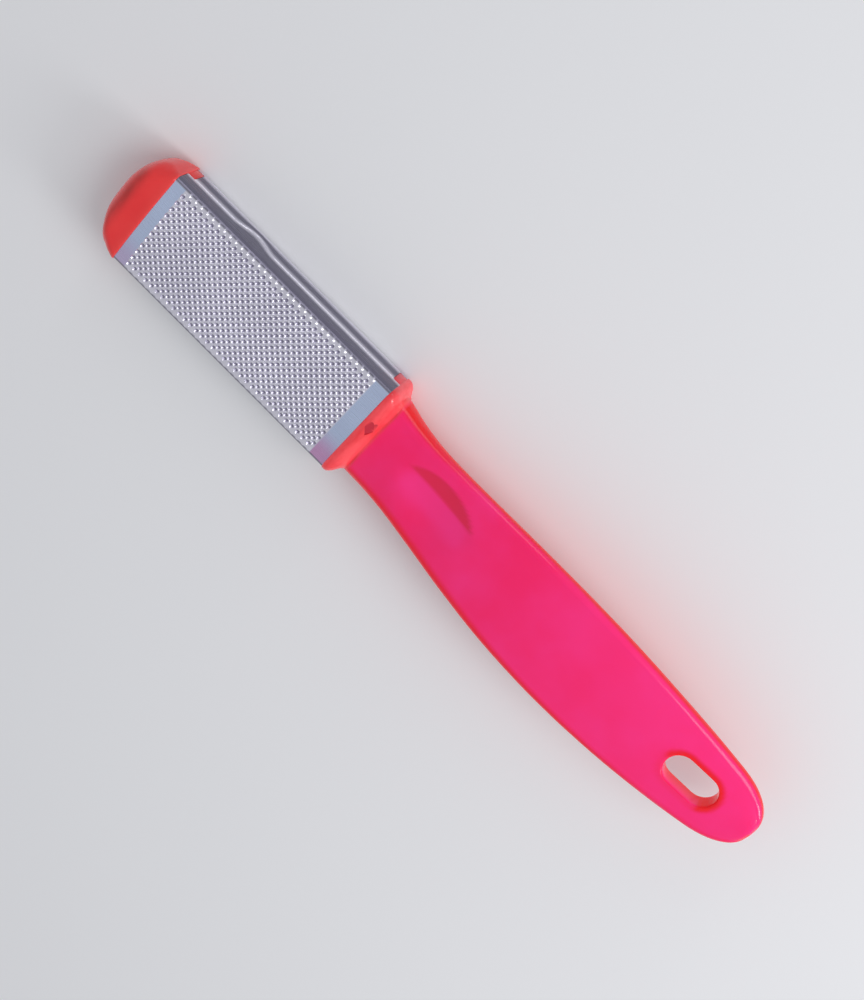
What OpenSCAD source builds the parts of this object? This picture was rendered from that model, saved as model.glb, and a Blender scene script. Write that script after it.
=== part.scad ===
// Two-sided foot rasp with a moulded handle.
// The long axis is x, with the grip at plus x and the nose at minus x.
// The origin is on the floor, below the middle of the whole length.
// The head lies flat and the arched grip stands clear of the floor.

/* [Head] */
// Length of steel that shows between the nose cap and the collar
plate_show = 76.5; // [68:0.5:100]
// Width across the steel side walls
head_w = 29.9; // [26:0.1:36]
// Height between the crowns of the two plates
head_h = 15.5; // [13:0.1:20]
// Radius of the crown across each plate
crown_r = 128; // [90:1:240]
// Outside radius of the bend from face to side wall
bend_r = 1.9; // [1.4:0.1:3]
// Thickness of the steel sheet
sheet_t = 0.5; // [0.4:0.05:0.7]

/* [Teeth] */
// Distance between fine teeth along a row
fine_pitch = 2.06; // [1.8:0.02:2.6]
// Distance between fine rows that line up
fine_row = 2.2; // [2:0.05:2.8]
// Height of the fine teeth
fine_rise = 0.4; // [0.2:0.05:0.5]
// Distance between coarse teeth along a row
coarse_pitch = 3.4; // [2.8:0.1:4.4]
// Distance between coarse rows that line up
coarse_row = 3.7; // [3:0.1:4.6]
// Height of the coarse teeth
coarse_rise = 0.55; // [0.3:0.05:0.55]
// Plain steel left at each end of a field of teeth
field_margin = 3.6; // [3:0.2:6]

/* [Side seam] */
// Height of the seam above the middle of the head
seam_up = 0.5; // [0:0.1:1]
// Gap between the two side walls
seam_gap = 0.2; // [0.1:0.05:0.3]
// Length of the bell-shaped tab
tab_len = 15; // [10:0.5:20]
// How far the tab reaches past the seam
tab_drop = 2.7; // [1.5:0.1:3]
// Distance of the tab's peak from the collar
tab_from_collar = 53; // [40:0.5:56]
// Cut-back of a notched wall at the cap
tongue_cap = 2.2; // [1.5:0.1:6]
// Cut-back of a notched wall at the collar
tongue_collar = 2.3; // [1:0.1:4]

/* [Nose cap and collar] */
// Length of the nose cap in front of the steel
cap_len = 11.1; // [9:0.1:15]
// Length of the collar
collar_len = 5; // [4:0.1:7]
// How far cap and collar stand above the crowns
rim_up = 0.6; // [0.6:0.05:1]
// How far cap and collar stand out from the side walls
rim_out = 0.25; // [0.15:0.05:0.6]
// How far the plates' ends are tucked under each lip
tuck = 1.5; // [1:0.1:2]
// Clearance around the plates and the spigot
fit_gap = 0.1; // [0.05:0.05:0.2]

/* [Grip] */
// Length of the grip behind the collar
grip_len = 139.7; // [120:0.1:165]
// Half width of the grip where it is widest
grip_half_w = 15.7; // [14:0.1:19]
// Half width of the neck where it is narrowest
neck_half_w = 12.3; // [11:0.1:14]
// Thickness of the grip at its widest place
grip_t = 6.6; // [5.5:0.1:9]
// Height of the grip's middle at the top of its arch
arch_up = 20.3; // [16:0.1:24]
// Height of the grip's middle at its tail
tail_up = 17.6; // [13:0.1:20]

/* [Thumb dish and slot] */
// Length of the thumb dish
dish_len = 27; // [20:0.5:30]
// Width of the thumb dish
dish_w = 17; // [12:0.5:18]
// Depth of the thumb dish
dish_deep = 1.4; // [0.6:0.1:1.8]
// Length of the hanging slot
slot_len = 16.4; // [13:0.2:22]
// Width of the hanging slot
slot_w = 9; // [6:0.2:11]
// Distance of the slot's middle from the tail end
slot_from_tail = 21.4; // [19:0.1:26]
// Width of the bevel around the slot
slot_bevel = 0.7; // [0.3:0.1:1]

/* [Hidden] */

$fn = 64;
eps = 0.02;

half_w = head_w / 2;
half_h = head_h / 2;
head_mid = rim_up + half_h;
steel_front = -plate_show;
plate_front = steel_front - tuck;
plate_back = tuck;
plate_mid = steel_front / 2;
field_len = plate_show - 2 * field_margin;
tail_x = collar_len + grip_len;
slot_x = tail_x - slot_from_tail;
nose_x = steel_front - cap_len;
mid_x = (nose_x + tail_x) / 2;
pink = [0.93, 0.16, 0.45];
coral = [0.91, 0.3, 0.33];
steel = [0.76, 0.77, 0.82];

// Each piece is drawn with x counted from the collar's front face. This moves
// it so that x is counted from the middle of the whole length.
module from_middle() {
    translate([-mid_x, 0, 0])
        children();
}

// Sections of the head
// A section is drawn in a plane whose x is the width and whose y is the height.

// Half height of a crowned section at its corner's middle.
function corner_up(w, h, cr, br) =
    h - cr + sqrt(pow(cr - br, 2) - pow(w - br, 2));

// Closed section with crowned faces, upright sides and round corners.
// w and h are half sizes, cr is the crown radius and br the corner radius.
module head_section(w, h, cr, br) {
    up = corner_up(w, h, cr, br);
    lean = asin((w - br) / (cr - br));
    difference() {
        intersection() {
            square([2 * w, 4 * h], center = true);
            translate([0, h - cr])
                circle(r = cr, $fn = 180);
            translate([0, cr - h])
                circle(r = cr, $fn = 180);
        }
        for (sx = [-1, 1], sy = [-1, 1])
            scale([sx, sy])
                translate([w - br, up])
                    polygon([
                        [0, 0],
                        [2 * br * sin(lean), 2 * br * cos(lean)],
                        [2 * br, 2 * br],
                        [2 * br, 0]
                    ]);
    }
    for (sx = [-1, 1], sy = [-1, 1])
        translate([sx * (w - br), sy * up])
            circle(r = br);
}

// The head's section made smaller by d all round.
module inset_section(d) {
    head_section(half_w - d, half_h - d, crown_r - d, max(bend_r - d, 0.4));
}

// Carries a section along x from x0 to x1, at the middle of the head.
module along_x(x0, x1) {
    translate([x0, 0, head_mid])
        rotate([90, 0, 90])
            linear_extrude(height = x1 - x0)
                children();
}

// Steel plates
// Each plate is one sheet: a crowned face with a field of teeth, a bend along
// each side and two upright walls. It is drawn as the upper plate. Its wall at
// plus y carries the tab and its wall at minus y the matching notch, so the
// same stamping turned half round about x closes the other side.

// Bell of height 1 around the tab's middle, longer by grow at each end.
function bell(x, grow) =
    let (half = tab_len / 2 + grow, d = abs(x + tab_from_collar))
    d < half ? 0.5 + 0.5 * cos(180 * d / half) : 0;

// Places along x where a wall's edge needs a point.
bell_steps = 22;
function edge_places(x0, x1, grow) =
    let (half = tab_len / 2 + grow)
    concat(
        [x0],
        [for (k = [0:bell_steps]) -tab_from_collar + half * (2 * k / bell_steps - 1)],
        [x1]
    );

// Lower edge of the wall with the tab, as [x, height] points.
tab_edge = [
    for (x = edge_places(plate_front + 0.3, plate_back - 0.3, 0))
        [x, seam_up + seam_gap / 2 - tab_drop * bell(x, 0)]
];

// Lower edge of the wall with the notch, cut back at both ends for the tongues.
notch_edge = [
    for (x = edge_places(steel_front + tongue_cap + fit_gap, -tongue_collar - fit_gap, seam_gap))
        [x, -seam_up + seam_gap / 2 + (tab_drop + seam_gap / 4) * bell(x, seam_gap)]
];

bend_up = corner_up(half_w, half_h, crown_r, bend_r);
bend_y = half_w - bend_r;
bend_steps = 5;

// Height of the sheet's surface at width y, at depth d below its outer face.
function sheet_at(y, d) =
    let (r = bend_r - d, reach = bend_y * (1 + r / (crown_r - bend_r)))
    abs(y) < reach
        ? half_h - crown_r + sqrt(pow(crown_r - d, 2) - y * y)
        : bend_up + sqrt(max(r * r - pow(abs(y) - bend_y, 2), 0));

// Points round one bend from the wall towards the face, at depth d.
// The last point before the width y_end is left out.
function bend_points(d, y_end, side) =
    let (r = bend_r - d, f_end = asin(max((y_end - bend_y) / r, 0)))
    [
        for (k = [0:bend_steps - 1])
            let (f = 90 + (f_end - 90) * k / bend_steps)
            [side * (bend_y + r * sin(f)), bend_up + r * cos(f)]
    ];

function flip(list) = [for (k = [len(list) - 1:-1:0]) list[k]];

// Height over the sheet of grid point i in row j of the field. Each row has
// four points to a tooth: the cutting tip, the pit in front of it, the land
// and the ramp. Every second row is shifted by half a pitch.
function tooth_up(i, j, rise) =
    let (phase = (i + 2 * (j % 2)) % 4, pit = sheet_t * 0.5)
    phase == 0 ? rise : phase == 1 ? -pit : phase == 2 ? -pit / 3 : rise / 3;

module rasp_plate(pitch, row, rise) {
    dx = pitch / 4;
    dy = row / 2;
    // Last grid column and last grid row, counting the plain border.
    ni = 4 * floor(field_len / pitch) + 2;
    nr = 2 * floor((bend_y + 0.5) / dy) + 2;
    function px(i) = plate_mid + dx * (min(max(i, 0.6), ni - 0.6) - ni / 2);
    function py(j) = dy * (min(max(j, 0.8), nr - 0.8) - nr / 2);
    function on_border(i, j) = i == 0 || j == 0 || i == ni || j == nr;

    // Section of the outer and of the inner face, from the wall at plus y.
    outer = concat(
        bend_points(0, py(nr), 1),
        [for (j = [nr:-1:0]) [py(j), sheet_at(py(j), 0)]],
        flip(bend_points(0, py(nr), -1))
    );
    inner_scale = bend_y / py(nr);
    inner = concat(
        bend_points(sheet_t, bend_y, 1),
        [for (j = [nr:-1:0]) let (y = py(j) * inner_scale) [y, sheet_at(y, sheet_t)]],
        flip(bend_points(sheet_t, bend_y, -1))
    );
    ns = len(outer);
    ne = len(tab_edge);

    // Points of one wall's face at width y: those below the bend, then its edge.
    function wall_points(edge, y) = concat(
        [for (p = edge) [p[0], y, bend_up]],
        [for (p = edge) [p[0], y, p[1]]]
    );
    inside = half_w - sheet_t;
    points = concat(
        [for (p = outer) [plate_front, p[0], p[1]]],
        [for (p = outer) [plate_back, p[0], p[1]]],
        [for (p = inner) [plate_front, p[0], p[1]]],
        [for (p = inner) [plate_back, p[0], p[1]]],
        wall_points(tab_edge, half_w),
        wall_points(tab_edge, inside),
        wall_points(notch_edge, -half_w),
        wall_points(notch_edge, -inside),
        [
            for (j = [0:nr], i = [0:ni])
                [px(i), py(j), sheet_at(py(j), 0) + (on_border(i, j) ? 0 : tooth_up(i, j, rise))]
        ]
    );

    // Where each group of points starts.
    w0 = 4 * ns;
    f0 = w0 + 8 * ne;
    function a(p) = p;
    function b(p) = ns + p;
    function ia(p) = 2 * ns + p;
    function ib(p) = 3 * ns + p;
    function t(g, k) = w0 + 2 * g * ne + k;
    function w(g, k) = t(g, k) + ne;
    function f(i, j) = f0 + j * (ni + 1) + i;
    function row_place(j) = bend_steps + nr - j;
    function t_run(g) = [for (k = [0:ne - 1]) t(g, k)];
    function w_run(g) = [for (k = [0:ne - 1]) w(g, k)];

    // Faces with many corners start at one from which every other is in sight.
    last = ns - 1;
    top_row = row_place(nr);
    low_row = row_place(0);
    outer_strips = concat(
        [concat([a(1), a(0)], t_run(0), [b(0), b(1)])],
        [for (p = [1:top_row - 2]) [a(p), b(p), b(p + 1), a(p + 1)]],
        [concat([a(top_row - 1), b(top_row - 1), b(top_row)], [for (i = [ni:-1:0]) f(i, nr)], [a(top_row)])],
        [concat([a(low_row + 1), a(low_row)], [for (i = [0:ni]) f(i, 0)], [b(low_row), b(low_row + 1)])],
        [for (p = [low_row + 1:last - 2]) [a(p), b(p), b(p + 1), a(p + 1)]],
        [concat([a(last - 1), b(last - 1), b(last)], flip(t_run(2)), [a(last)])]
    );
    margins = [
        for (j = [0:nr - 1])
            let (p = row_place(j))
            each [
                [a(p), a(p - 1), f(0, j + 1), f(0, j)],
                [f(ni, j), f(ni, j + 1), b(p - 1), b(p)]
            ]
    ];
    field = [
        for (j = [0:nr - 1], i = [0:ni - 1])
            each (i + j) % 2 == 0
                ? [[f(i, j), f(i, j + 1), f(i + 1, j + 1)], [f(i, j), f(i + 1, j + 1), f(i + 1, j)]]
                : [[f(i, j), f(i, j + 1), f(i + 1, j)], [f(i + 1, j), f(i, j + 1), f(i + 1, j + 1)]]
    ];
    inner_strips = concat(
        [concat([ia(1), ib(1), ib(0)], flip(t_run(1)), [ia(0)])],
        [for (p = [1:last - 2]) [ia(p), ia(p + 1), ib(p + 1), ib(p)]],
        [concat([ia(last - 1), ia(last)], t_run(3), [ib(last), ib(last - 1)])]
    );
    walls = [
        for (k = [0:ne - 2])
            each [
                [t(0, k + 1), t(0, k), w(0, k), w(0, k + 1)],
                [t(1, k), t(1, k + 1), w(1, k + 1), w(1, k)],
                [t(2, k), t(2, k + 1), w(2, k + 1), w(2, k)],
                [t(3, k + 1), t(3, k), w(3, k), w(3, k + 1)]
            ]
    ];
    tab_out = concat([a(0), t(0, 0)], w_run(0), [t(0, ne - 1), b(0)]);
    tab_in = concat([ia(0), t(1, 0)], w_run(1), [t(1, ne - 1), ib(0)]);
    notch_out = concat([a(last), t(2, 0)], w_run(2), [t(2, ne - 1), b(last)]);
    notch_in = concat([ia(last), t(3, 0)], w_run(3), [t(3, ne - 1), ib(last)]);
    rims = [
        for (k = [0:len(tab_out) - 2])
            each [
                [tab_out[k + 1], tab_out[k], tab_in[k], tab_in[k + 1]],
                [notch_out[k], notch_out[k + 1], notch_in[k + 1], notch_in[k]]
            ]
    ];
    ends = [
        for (p = [0:last - 1])
            each [
                [a(p), a(p + 1), ia(p + 1), ia(p)],
                [b(p + 1), b(p), ib(p), ib(p + 1)]
            ]
    ];
    translate([0, 0, head_mid])
        polyhedron(
            points = points,
            faces = concat(outer_strips, margins, field, inner_strips, walls, rims, ends),
            convexity = 10
        );
}

module fine_rasp_plate() {
    color(steel)
        from_middle()
            rasp_plate(fine_pitch, fine_row, fine_rise);
}

module coarse_rasp_plate() {
    color(steel)
        from_middle()
            translate([0, 0, head_mid])
                rotate([180, 0, 0])
                    translate([0, 0, -head_mid])
                        rasp_plate(coarse_pitch, coarse_row, coarse_rise);
}

// Lofted mouldings
// A station is [x, middle height, half width, half height, corner radius, drop],
// where drop is how far the face falls from its crown to its corner.

arc_steps = 4;
face_steps = 6;

// Points of the section at one station, in order around it.
function ring(s) =
    let (a = s[2], b = s[3], r = s[4], e = b - r - s[5], n = face_steps, m = arc_steps)
    [
        for (q = [1, -1])
            each concat(
                [
                    for (k = [0:n])
                        let (t = q * (2 * k / n - 1))
                        [s[0], t * (a - r), s[1] + q * (e + r + s[5] * (1 - t * t))]
                ],
                [
                    for (k = [1:m])
                        let (f = 90 * k / m)
                        [s[0], q * (a - r + r * sin(f)), s[1] + q * (e + r * cos(f))]
                ],
                [
                    for (k = [m:-1:1])
                        let (f = 90 * k / m)
                        [s[0], q * (a - r + r * sin(f)), s[1] - q * (e + r * cos(f))]
                ]
            )
    ];

module loft(stations) {
    n = len(ring(stations[0]));
    m = len(stations);
    polyhedron(
        points = [for (s = stations) each ring(s)],
        faces = concat(
            [[for (k = [n - 1:-1:0]) k]],
            [
                for (i = [0:m - 2], k = [0:n - 1])
                    let (l = (k + 1) % n)
                    each [
                        [i * n + k, (i + 1) * n + l, (i + 1) * n + k],
                        [i * n + k, i * n + l, (i + 1) * n + l]
                    ]
            ],
            [[for (k = [0:n - 1]) (m - 1) * n + k]]
        ),
        convexity = 6
    );
}

// Smooth curve through a list of [x, value] points.
function seg(p, x, i = 0) = i >= len(p) - 2 || x < p[i + 1][0] ? i : seg(p, x, i + 1);
function slope(p, i) =
    let (j = max(i - 1, 0), k = min(i + 1, len(p) - 1))
    (p[k][1] - p[j][1]) / (p[k][0] - p[j][0]);
function curve(p, x) =
    let (i = seg(p, x), h = p[i + 1][0] - p[i][0], t = (x - p[i][0]) / h)
    (2 * pow(t, 3) - 3 * t * t + 1) * p[i][1] + (pow(t, 3) - 2 * t * t + t) * h * slope(p, i)
    + (3 * t * t - 2 * pow(t, 3)) * p[i + 1][1] + (pow(t, 3) - t * t) * h * slope(p, i + 1);

// Quarter-round inset at distance d from an edge rounded with radius r.
function round_in(d, r) = d >= r ? 0 : r - sqrt(max(r * r - pow(r - max(d, 0), 2), 0));

// Collar and nose cap
collar_corner = 2.6;
collar_back_round = 3.2;
rim_edge = 0.45;

// Station of a rim as large as the collar, made smaller by d.
function rim_station(x, d, corner, wf = 1, hf = 1) =
    let (
        a = (half_w + rim_out - d) * wf,
        b = (half_h + rim_up - d) * hf,
        r = min(corner + 3.6 * (1 - hf), a * 0.8, b * 0.85),
        drop = min(pow(a - r, 2) / (2 * crown_r), (b - r) * 0.9)
    )
    [x, head_mid, a, b, r, drop];

// Its sides draw in before its faces fall, so its corners are round in plan.
collar_side = 2;
function side_in(x) = min(collar_side, 7.5 * pow(max(x / collar_len - 0.19, 0), 2));
function collar_station(x) =
    let (
        d = round_in(x, rim_edge) + round_in(collar_len + 0.1 - x, collar_back_round),
        w = half_w + rim_out
    )
    rim_station(x, d, collar_corner + pow(x / collar_len, 2), (w - max(d, side_in(x))) / (w - d));

collar_stations = [
    for (s = [0, 0.03, 0.09, 0.26, 0.42, 0.57, 0.71, 0.83, 0.91, 0.97])
        collar_station(s * collar_len)
];

// Grip
// Each list gives, along the grip from 0 to 1, a share of what its name says.
// Share of the way from the neck's half width to the widest half width.
width_share = [
    [0, 0.25], [0.05, 0.04], [0.105, 0], [0.176, 0.19], [0.284, 0.58], [0.391, 0.88], [0.5, 1],
    [0.605, 0.93], [0.712, 0.66], [0.819, 0.23], [0.92, -0.34], [1, -0.85]
];
// Share of the way from the collar's middle up to the top of the arch.
arch_share = [
    [0, -0.02], [0.05, 0.16], [0.105, 0.33], [0.176, 0.5], [0.284, 0.72], [0.391, 0.88], [0.5, 0.97], [0.605, 1]
];
// Share of the way from the top of the arch down to the tail.
tail_share = [[0.605, 0], [0.712, 0.06], [0.819, 0.34], [0.92, 0.72], [1, 1]];
// Thickness as a multiple of the thickness at the widest place.
thick_share = [[0, 1.7], [0.05, 1.42], [0.105, 1.2], [0.176, 1.09], [0.284, 1.03], [0.5, 1], [0.75, 0.96], [1, 0.88]];

tail_round = 15.4;
tail_power = 2.6;
tail_edge = 2.2;

function along(x) = (x - collar_len) / grip_len;
function mid_up(x) =
    along(x) < arch_share[7][0]
        ? head_mid + (arch_up - head_mid) * curve(arch_share, along(x))
        : arch_up + (tail_up - arch_up) * curve(tail_share, along(x));
function tail_narrow(x) =
    let (t = max(x - tail_x + tail_round, 0) / tail_round)
    pow(1 - pow(t, tail_power), 1 / tail_power);
function tail_thin(x) =
    let (t = max(x - tail_x + tail_edge, 0) / tail_edge)
    sqrt(1 - t * t);
function half_thick(x) = grip_t / 2 * curve(thick_share, along(x)) * tail_thin(x);
function grip_station(x) =
    let (
        a = (neck_half_w + (grip_half_w - neck_half_w) * curve(width_share, along(x))) * tail_narrow(x),
        b = half_thick(x),
        r = min(0.64 * b, a * 0.8),
        flat_side = 0.05 * b + 0.14 * max(b - 3, 0)
    )
    [x, mid_up(x), a, b, r, b - r - flat_side];

grip_step = 5;
body_x = tail_x - tail_round;
grip_stations = concat(
    [for (x = [collar_len + 0.2:grip_step:body_x - 1]) grip_station(x)],
    [for (k = [0:10]) grip_station(body_x + tail_round * sin(8.4 * k))]
);

// Slope of the grip's middle, as an angle.
function tilt_at(x) = atan((mid_up(x + 1) - mid_up(x - 1)) / 2);

// Oval dish with a round floor, cut by the inside of a ring.
module thumb_dish() {
    x = dish_x;
    cross_r = (pow(dish_w / 2, 2) + pow(dish_deep, 2)) / (2 * dish_deep);
    long_r = (pow(dish_len / 2, 2) + pow(dish_deep, 2)) / (2 * dish_deep);
    translate([x, 0, mid_up(x) + half_thick(x)])
        rotate([0, -tilt_at(x), 0])
            translate([0, 0, long_r - dish_deep])
                rotate([90, 0, 0])
                    rotate_extrude($fn = 180)
                        intersection() {
                            translate([long_r - cross_r, 0])
                                circle(r = cross_r);
                            translate([long_r - 3, -cross_r])
                                square([4, 2 * cross_r]);
                        }
}
dish_x = 28.5;

// Stadium of a given width whose ends are round about the slot's two centres.
module stadium(w) {
    reach = (slot_len - slot_w) / 2;
    for (s = [-1, 1])
        translate([s * reach, 0])
            circle(d = w);
    square([2 * reach, w], center = true);
}

// Hanging slot with a bevel on both faces.
module hanging_slot() {
    reach = (slot_len - slot_w) / 2;
    z = mid_up(slot_x);
    t = half_thick(slot_x);
    translate([slot_x, 0, z - t - 2])
        linear_extrude(height = 2 * t + 4)
            stadium(slot_w);
    for (face = [1, -1])
        translate([slot_x, 0, z])
            rotate([face > 0 ? 0 : 180, face > 0 ? -tilt_at(slot_x) : tilt_at(slot_x), 0])
                translate([0, 0, t - slot_bevel]) {
                    for (s = [-1, 1])
                        translate([s * reach, 0, 0])
                            cylinder(d1 = slot_w, d2 = slot_w + 4 * slot_bevel, h = 2 * slot_bevel);
                    translate([-reach, 0, 0])
                        rotate([90, 0, 90])
                            linear_extrude(height = 2 * reach)
                                polygon([
                                    [-slot_w / 2, 0],
                                    [slot_w / 2, 0],
                                    [slot_w / 2 + 2 * slot_bevel, 2 * slot_bevel],
                                    [-slot_w / 2 - 2 * slot_bevel, 2 * slot_bevel]
                                ]);
                }
}

// Small heart-shaped dimple in the top of the collar.
module collar_mark() {
    size = 1.25;
    translate([collar_len * 0.53, 3.2, head_mid + half_h + rim_up - 0.4])
        rotate([0, 0, 35])
            linear_extrude(height = 2) {
                for (s = [0, 1])
                    translate([s * size / 2, (1 - s) * size / 2])
                        circle(d = size);
                translate([-size / 2, -size / 2])
                    square(size);
            }
}

// Carrier
// The moulding runs forward from the collar between the two plates.
spigot_len = 5;
spigot_in = 3.6;
pocket_deep = 2;
pocket_count = 3;
rib_t = 2;

module chip_pockets() {
    long = (field_len - (pocket_count - 1) * rib_t) / pocket_count;
    wide = head_w - 2 * bend_r - 4;
    for (i = [0:pocket_count - 1], s = [-1, 1])
        translate([
            plate_mid - field_len / 2 + i * (long + rib_t),
            -wide / 2,
            head_mid + s * (half_h - pocket_deep / 2) - pocket_deep
        ])
            cube([long, wide, 2 * pocket_deep]);
}

module carrier() {
    difference() {
        along_x(plate_front, tuck + 1)
            inset_section(sheet_t + fit_gap);
        chip_pockets();
    }
    along_x(plate_front - spigot_len, plate_front + 1)
        inset_section(spigot_in);
}

// Tongue that fills a notched wall's cut-back from x0 to x1, on both sides.
module side_tongues(x0, x1, inner) {
    up = corner_up(half_w, half_h, crown_r, bend_r) - fit_gap;
    for (turn = [0, 180])
        translate([0, 0, head_mid])
            rotate([turn, 0, 0])
                translate([x0, inner, -up])
                    cube([x1 - x0, half_w - inner, up + seam_up - seam_gap]);
}

// Groove that takes the plates' ends, from x0 to x1.
module plate_groove(x0, x1) {
    along_x(x0, x1)
        difference() {
            inset_section(-fit_gap);
            inset_section(sheet_t + fit_gap);
        }
}

module handle() {
    color(pink) from_middle() {
        difference() {
            loft(concat(collar_stations, grip_stations));
            plate_groove(-1, tuck + fit_gap);
            thumb_dish();
            hanging_slot();
            collar_mark();
        }
        carrier();
        side_tongues(-tongue_collar, tuck, half_w - sheet_t - 2 * fit_gap);
    }
}

// Nose cap
cap_round = 9.4;
cap_fall = 6.5;
cap_corner = 2.2;
nose_power = 2.2;

function ball(x, len) =
    let (t = max(nose_x + len - x, 0) / len)
    pow(max(1 - pow(t, nose_power), 0.006), 1 / nose_power);

cap_stations = concat(
    [for (k = [10:-1:0]) let (x = nose_x + cap_round * (1 - sin(9 * k)))
        rim_station(x, 0, cap_corner, ball(x, cap_round), ball(x, cap_fall))],
    [for (x = [rim_edge, 0.15, 0])
        rim_station(steel_front - x, round_in(x, rim_edge), cap_corner)]
);

module nose_cap() {
    color(coral) from_middle() {
        difference() {
            loft(cap_stations);
            along_x(plate_front - fit_gap, steel_front + 1)
                inset_section(-fit_gap);
            along_x(plate_front - spigot_len - fit_gap, plate_front)
                inset_section(spigot_in - fit_gap);
        }
        side_tongues(plate_front - 1, steel_front + tongue_cap, half_w - sheet_t);
    }
}

handle();
nose_cap();
fine_rasp_plate();
coarse_rasp_plate();
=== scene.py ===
"""A two-sided foot rasp: a moulded pink handle, a nose cap and two toothed steel plates.

Every piece is modelled in millimetres, with x counted from the collar's front
face, and is set into the frame in metres when it is finished.
"""

import logging
import math
from dataclasses import dataclass, field, replace
from enum import Enum
from typing import Callable, Sequence

import bpy
import numpy as np
from mathutils import Matrix, Vector


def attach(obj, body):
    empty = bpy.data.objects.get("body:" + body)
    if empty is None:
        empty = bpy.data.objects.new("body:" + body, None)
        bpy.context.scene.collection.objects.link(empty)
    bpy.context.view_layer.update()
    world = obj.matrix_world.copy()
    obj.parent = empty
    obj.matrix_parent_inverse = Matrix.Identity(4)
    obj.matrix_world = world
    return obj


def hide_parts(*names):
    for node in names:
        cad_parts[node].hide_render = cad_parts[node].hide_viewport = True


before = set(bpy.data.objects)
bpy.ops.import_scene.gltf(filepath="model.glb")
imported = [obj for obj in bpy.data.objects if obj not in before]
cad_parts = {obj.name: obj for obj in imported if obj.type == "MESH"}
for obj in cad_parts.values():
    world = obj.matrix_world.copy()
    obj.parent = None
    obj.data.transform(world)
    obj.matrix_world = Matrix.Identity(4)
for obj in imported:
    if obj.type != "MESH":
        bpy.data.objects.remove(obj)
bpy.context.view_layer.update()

log = logging.getLogger("foot_rasp")

MM = 0.001
COLLAR_FACE = -0.02855
WELD = 0.001
FAR_OFF = 9.0

Colour = tuple[float, float, float, float]
Span = tuple[float, float]
GridRule = Callable[[np.ndarray, np.ndarray], np.ndarray]


# Tools of the bench


class Merge(Enum):
    """How a second solid meets a piece."""

    ADD = "UNION"
    CUT = "DIFFERENCE"


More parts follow.
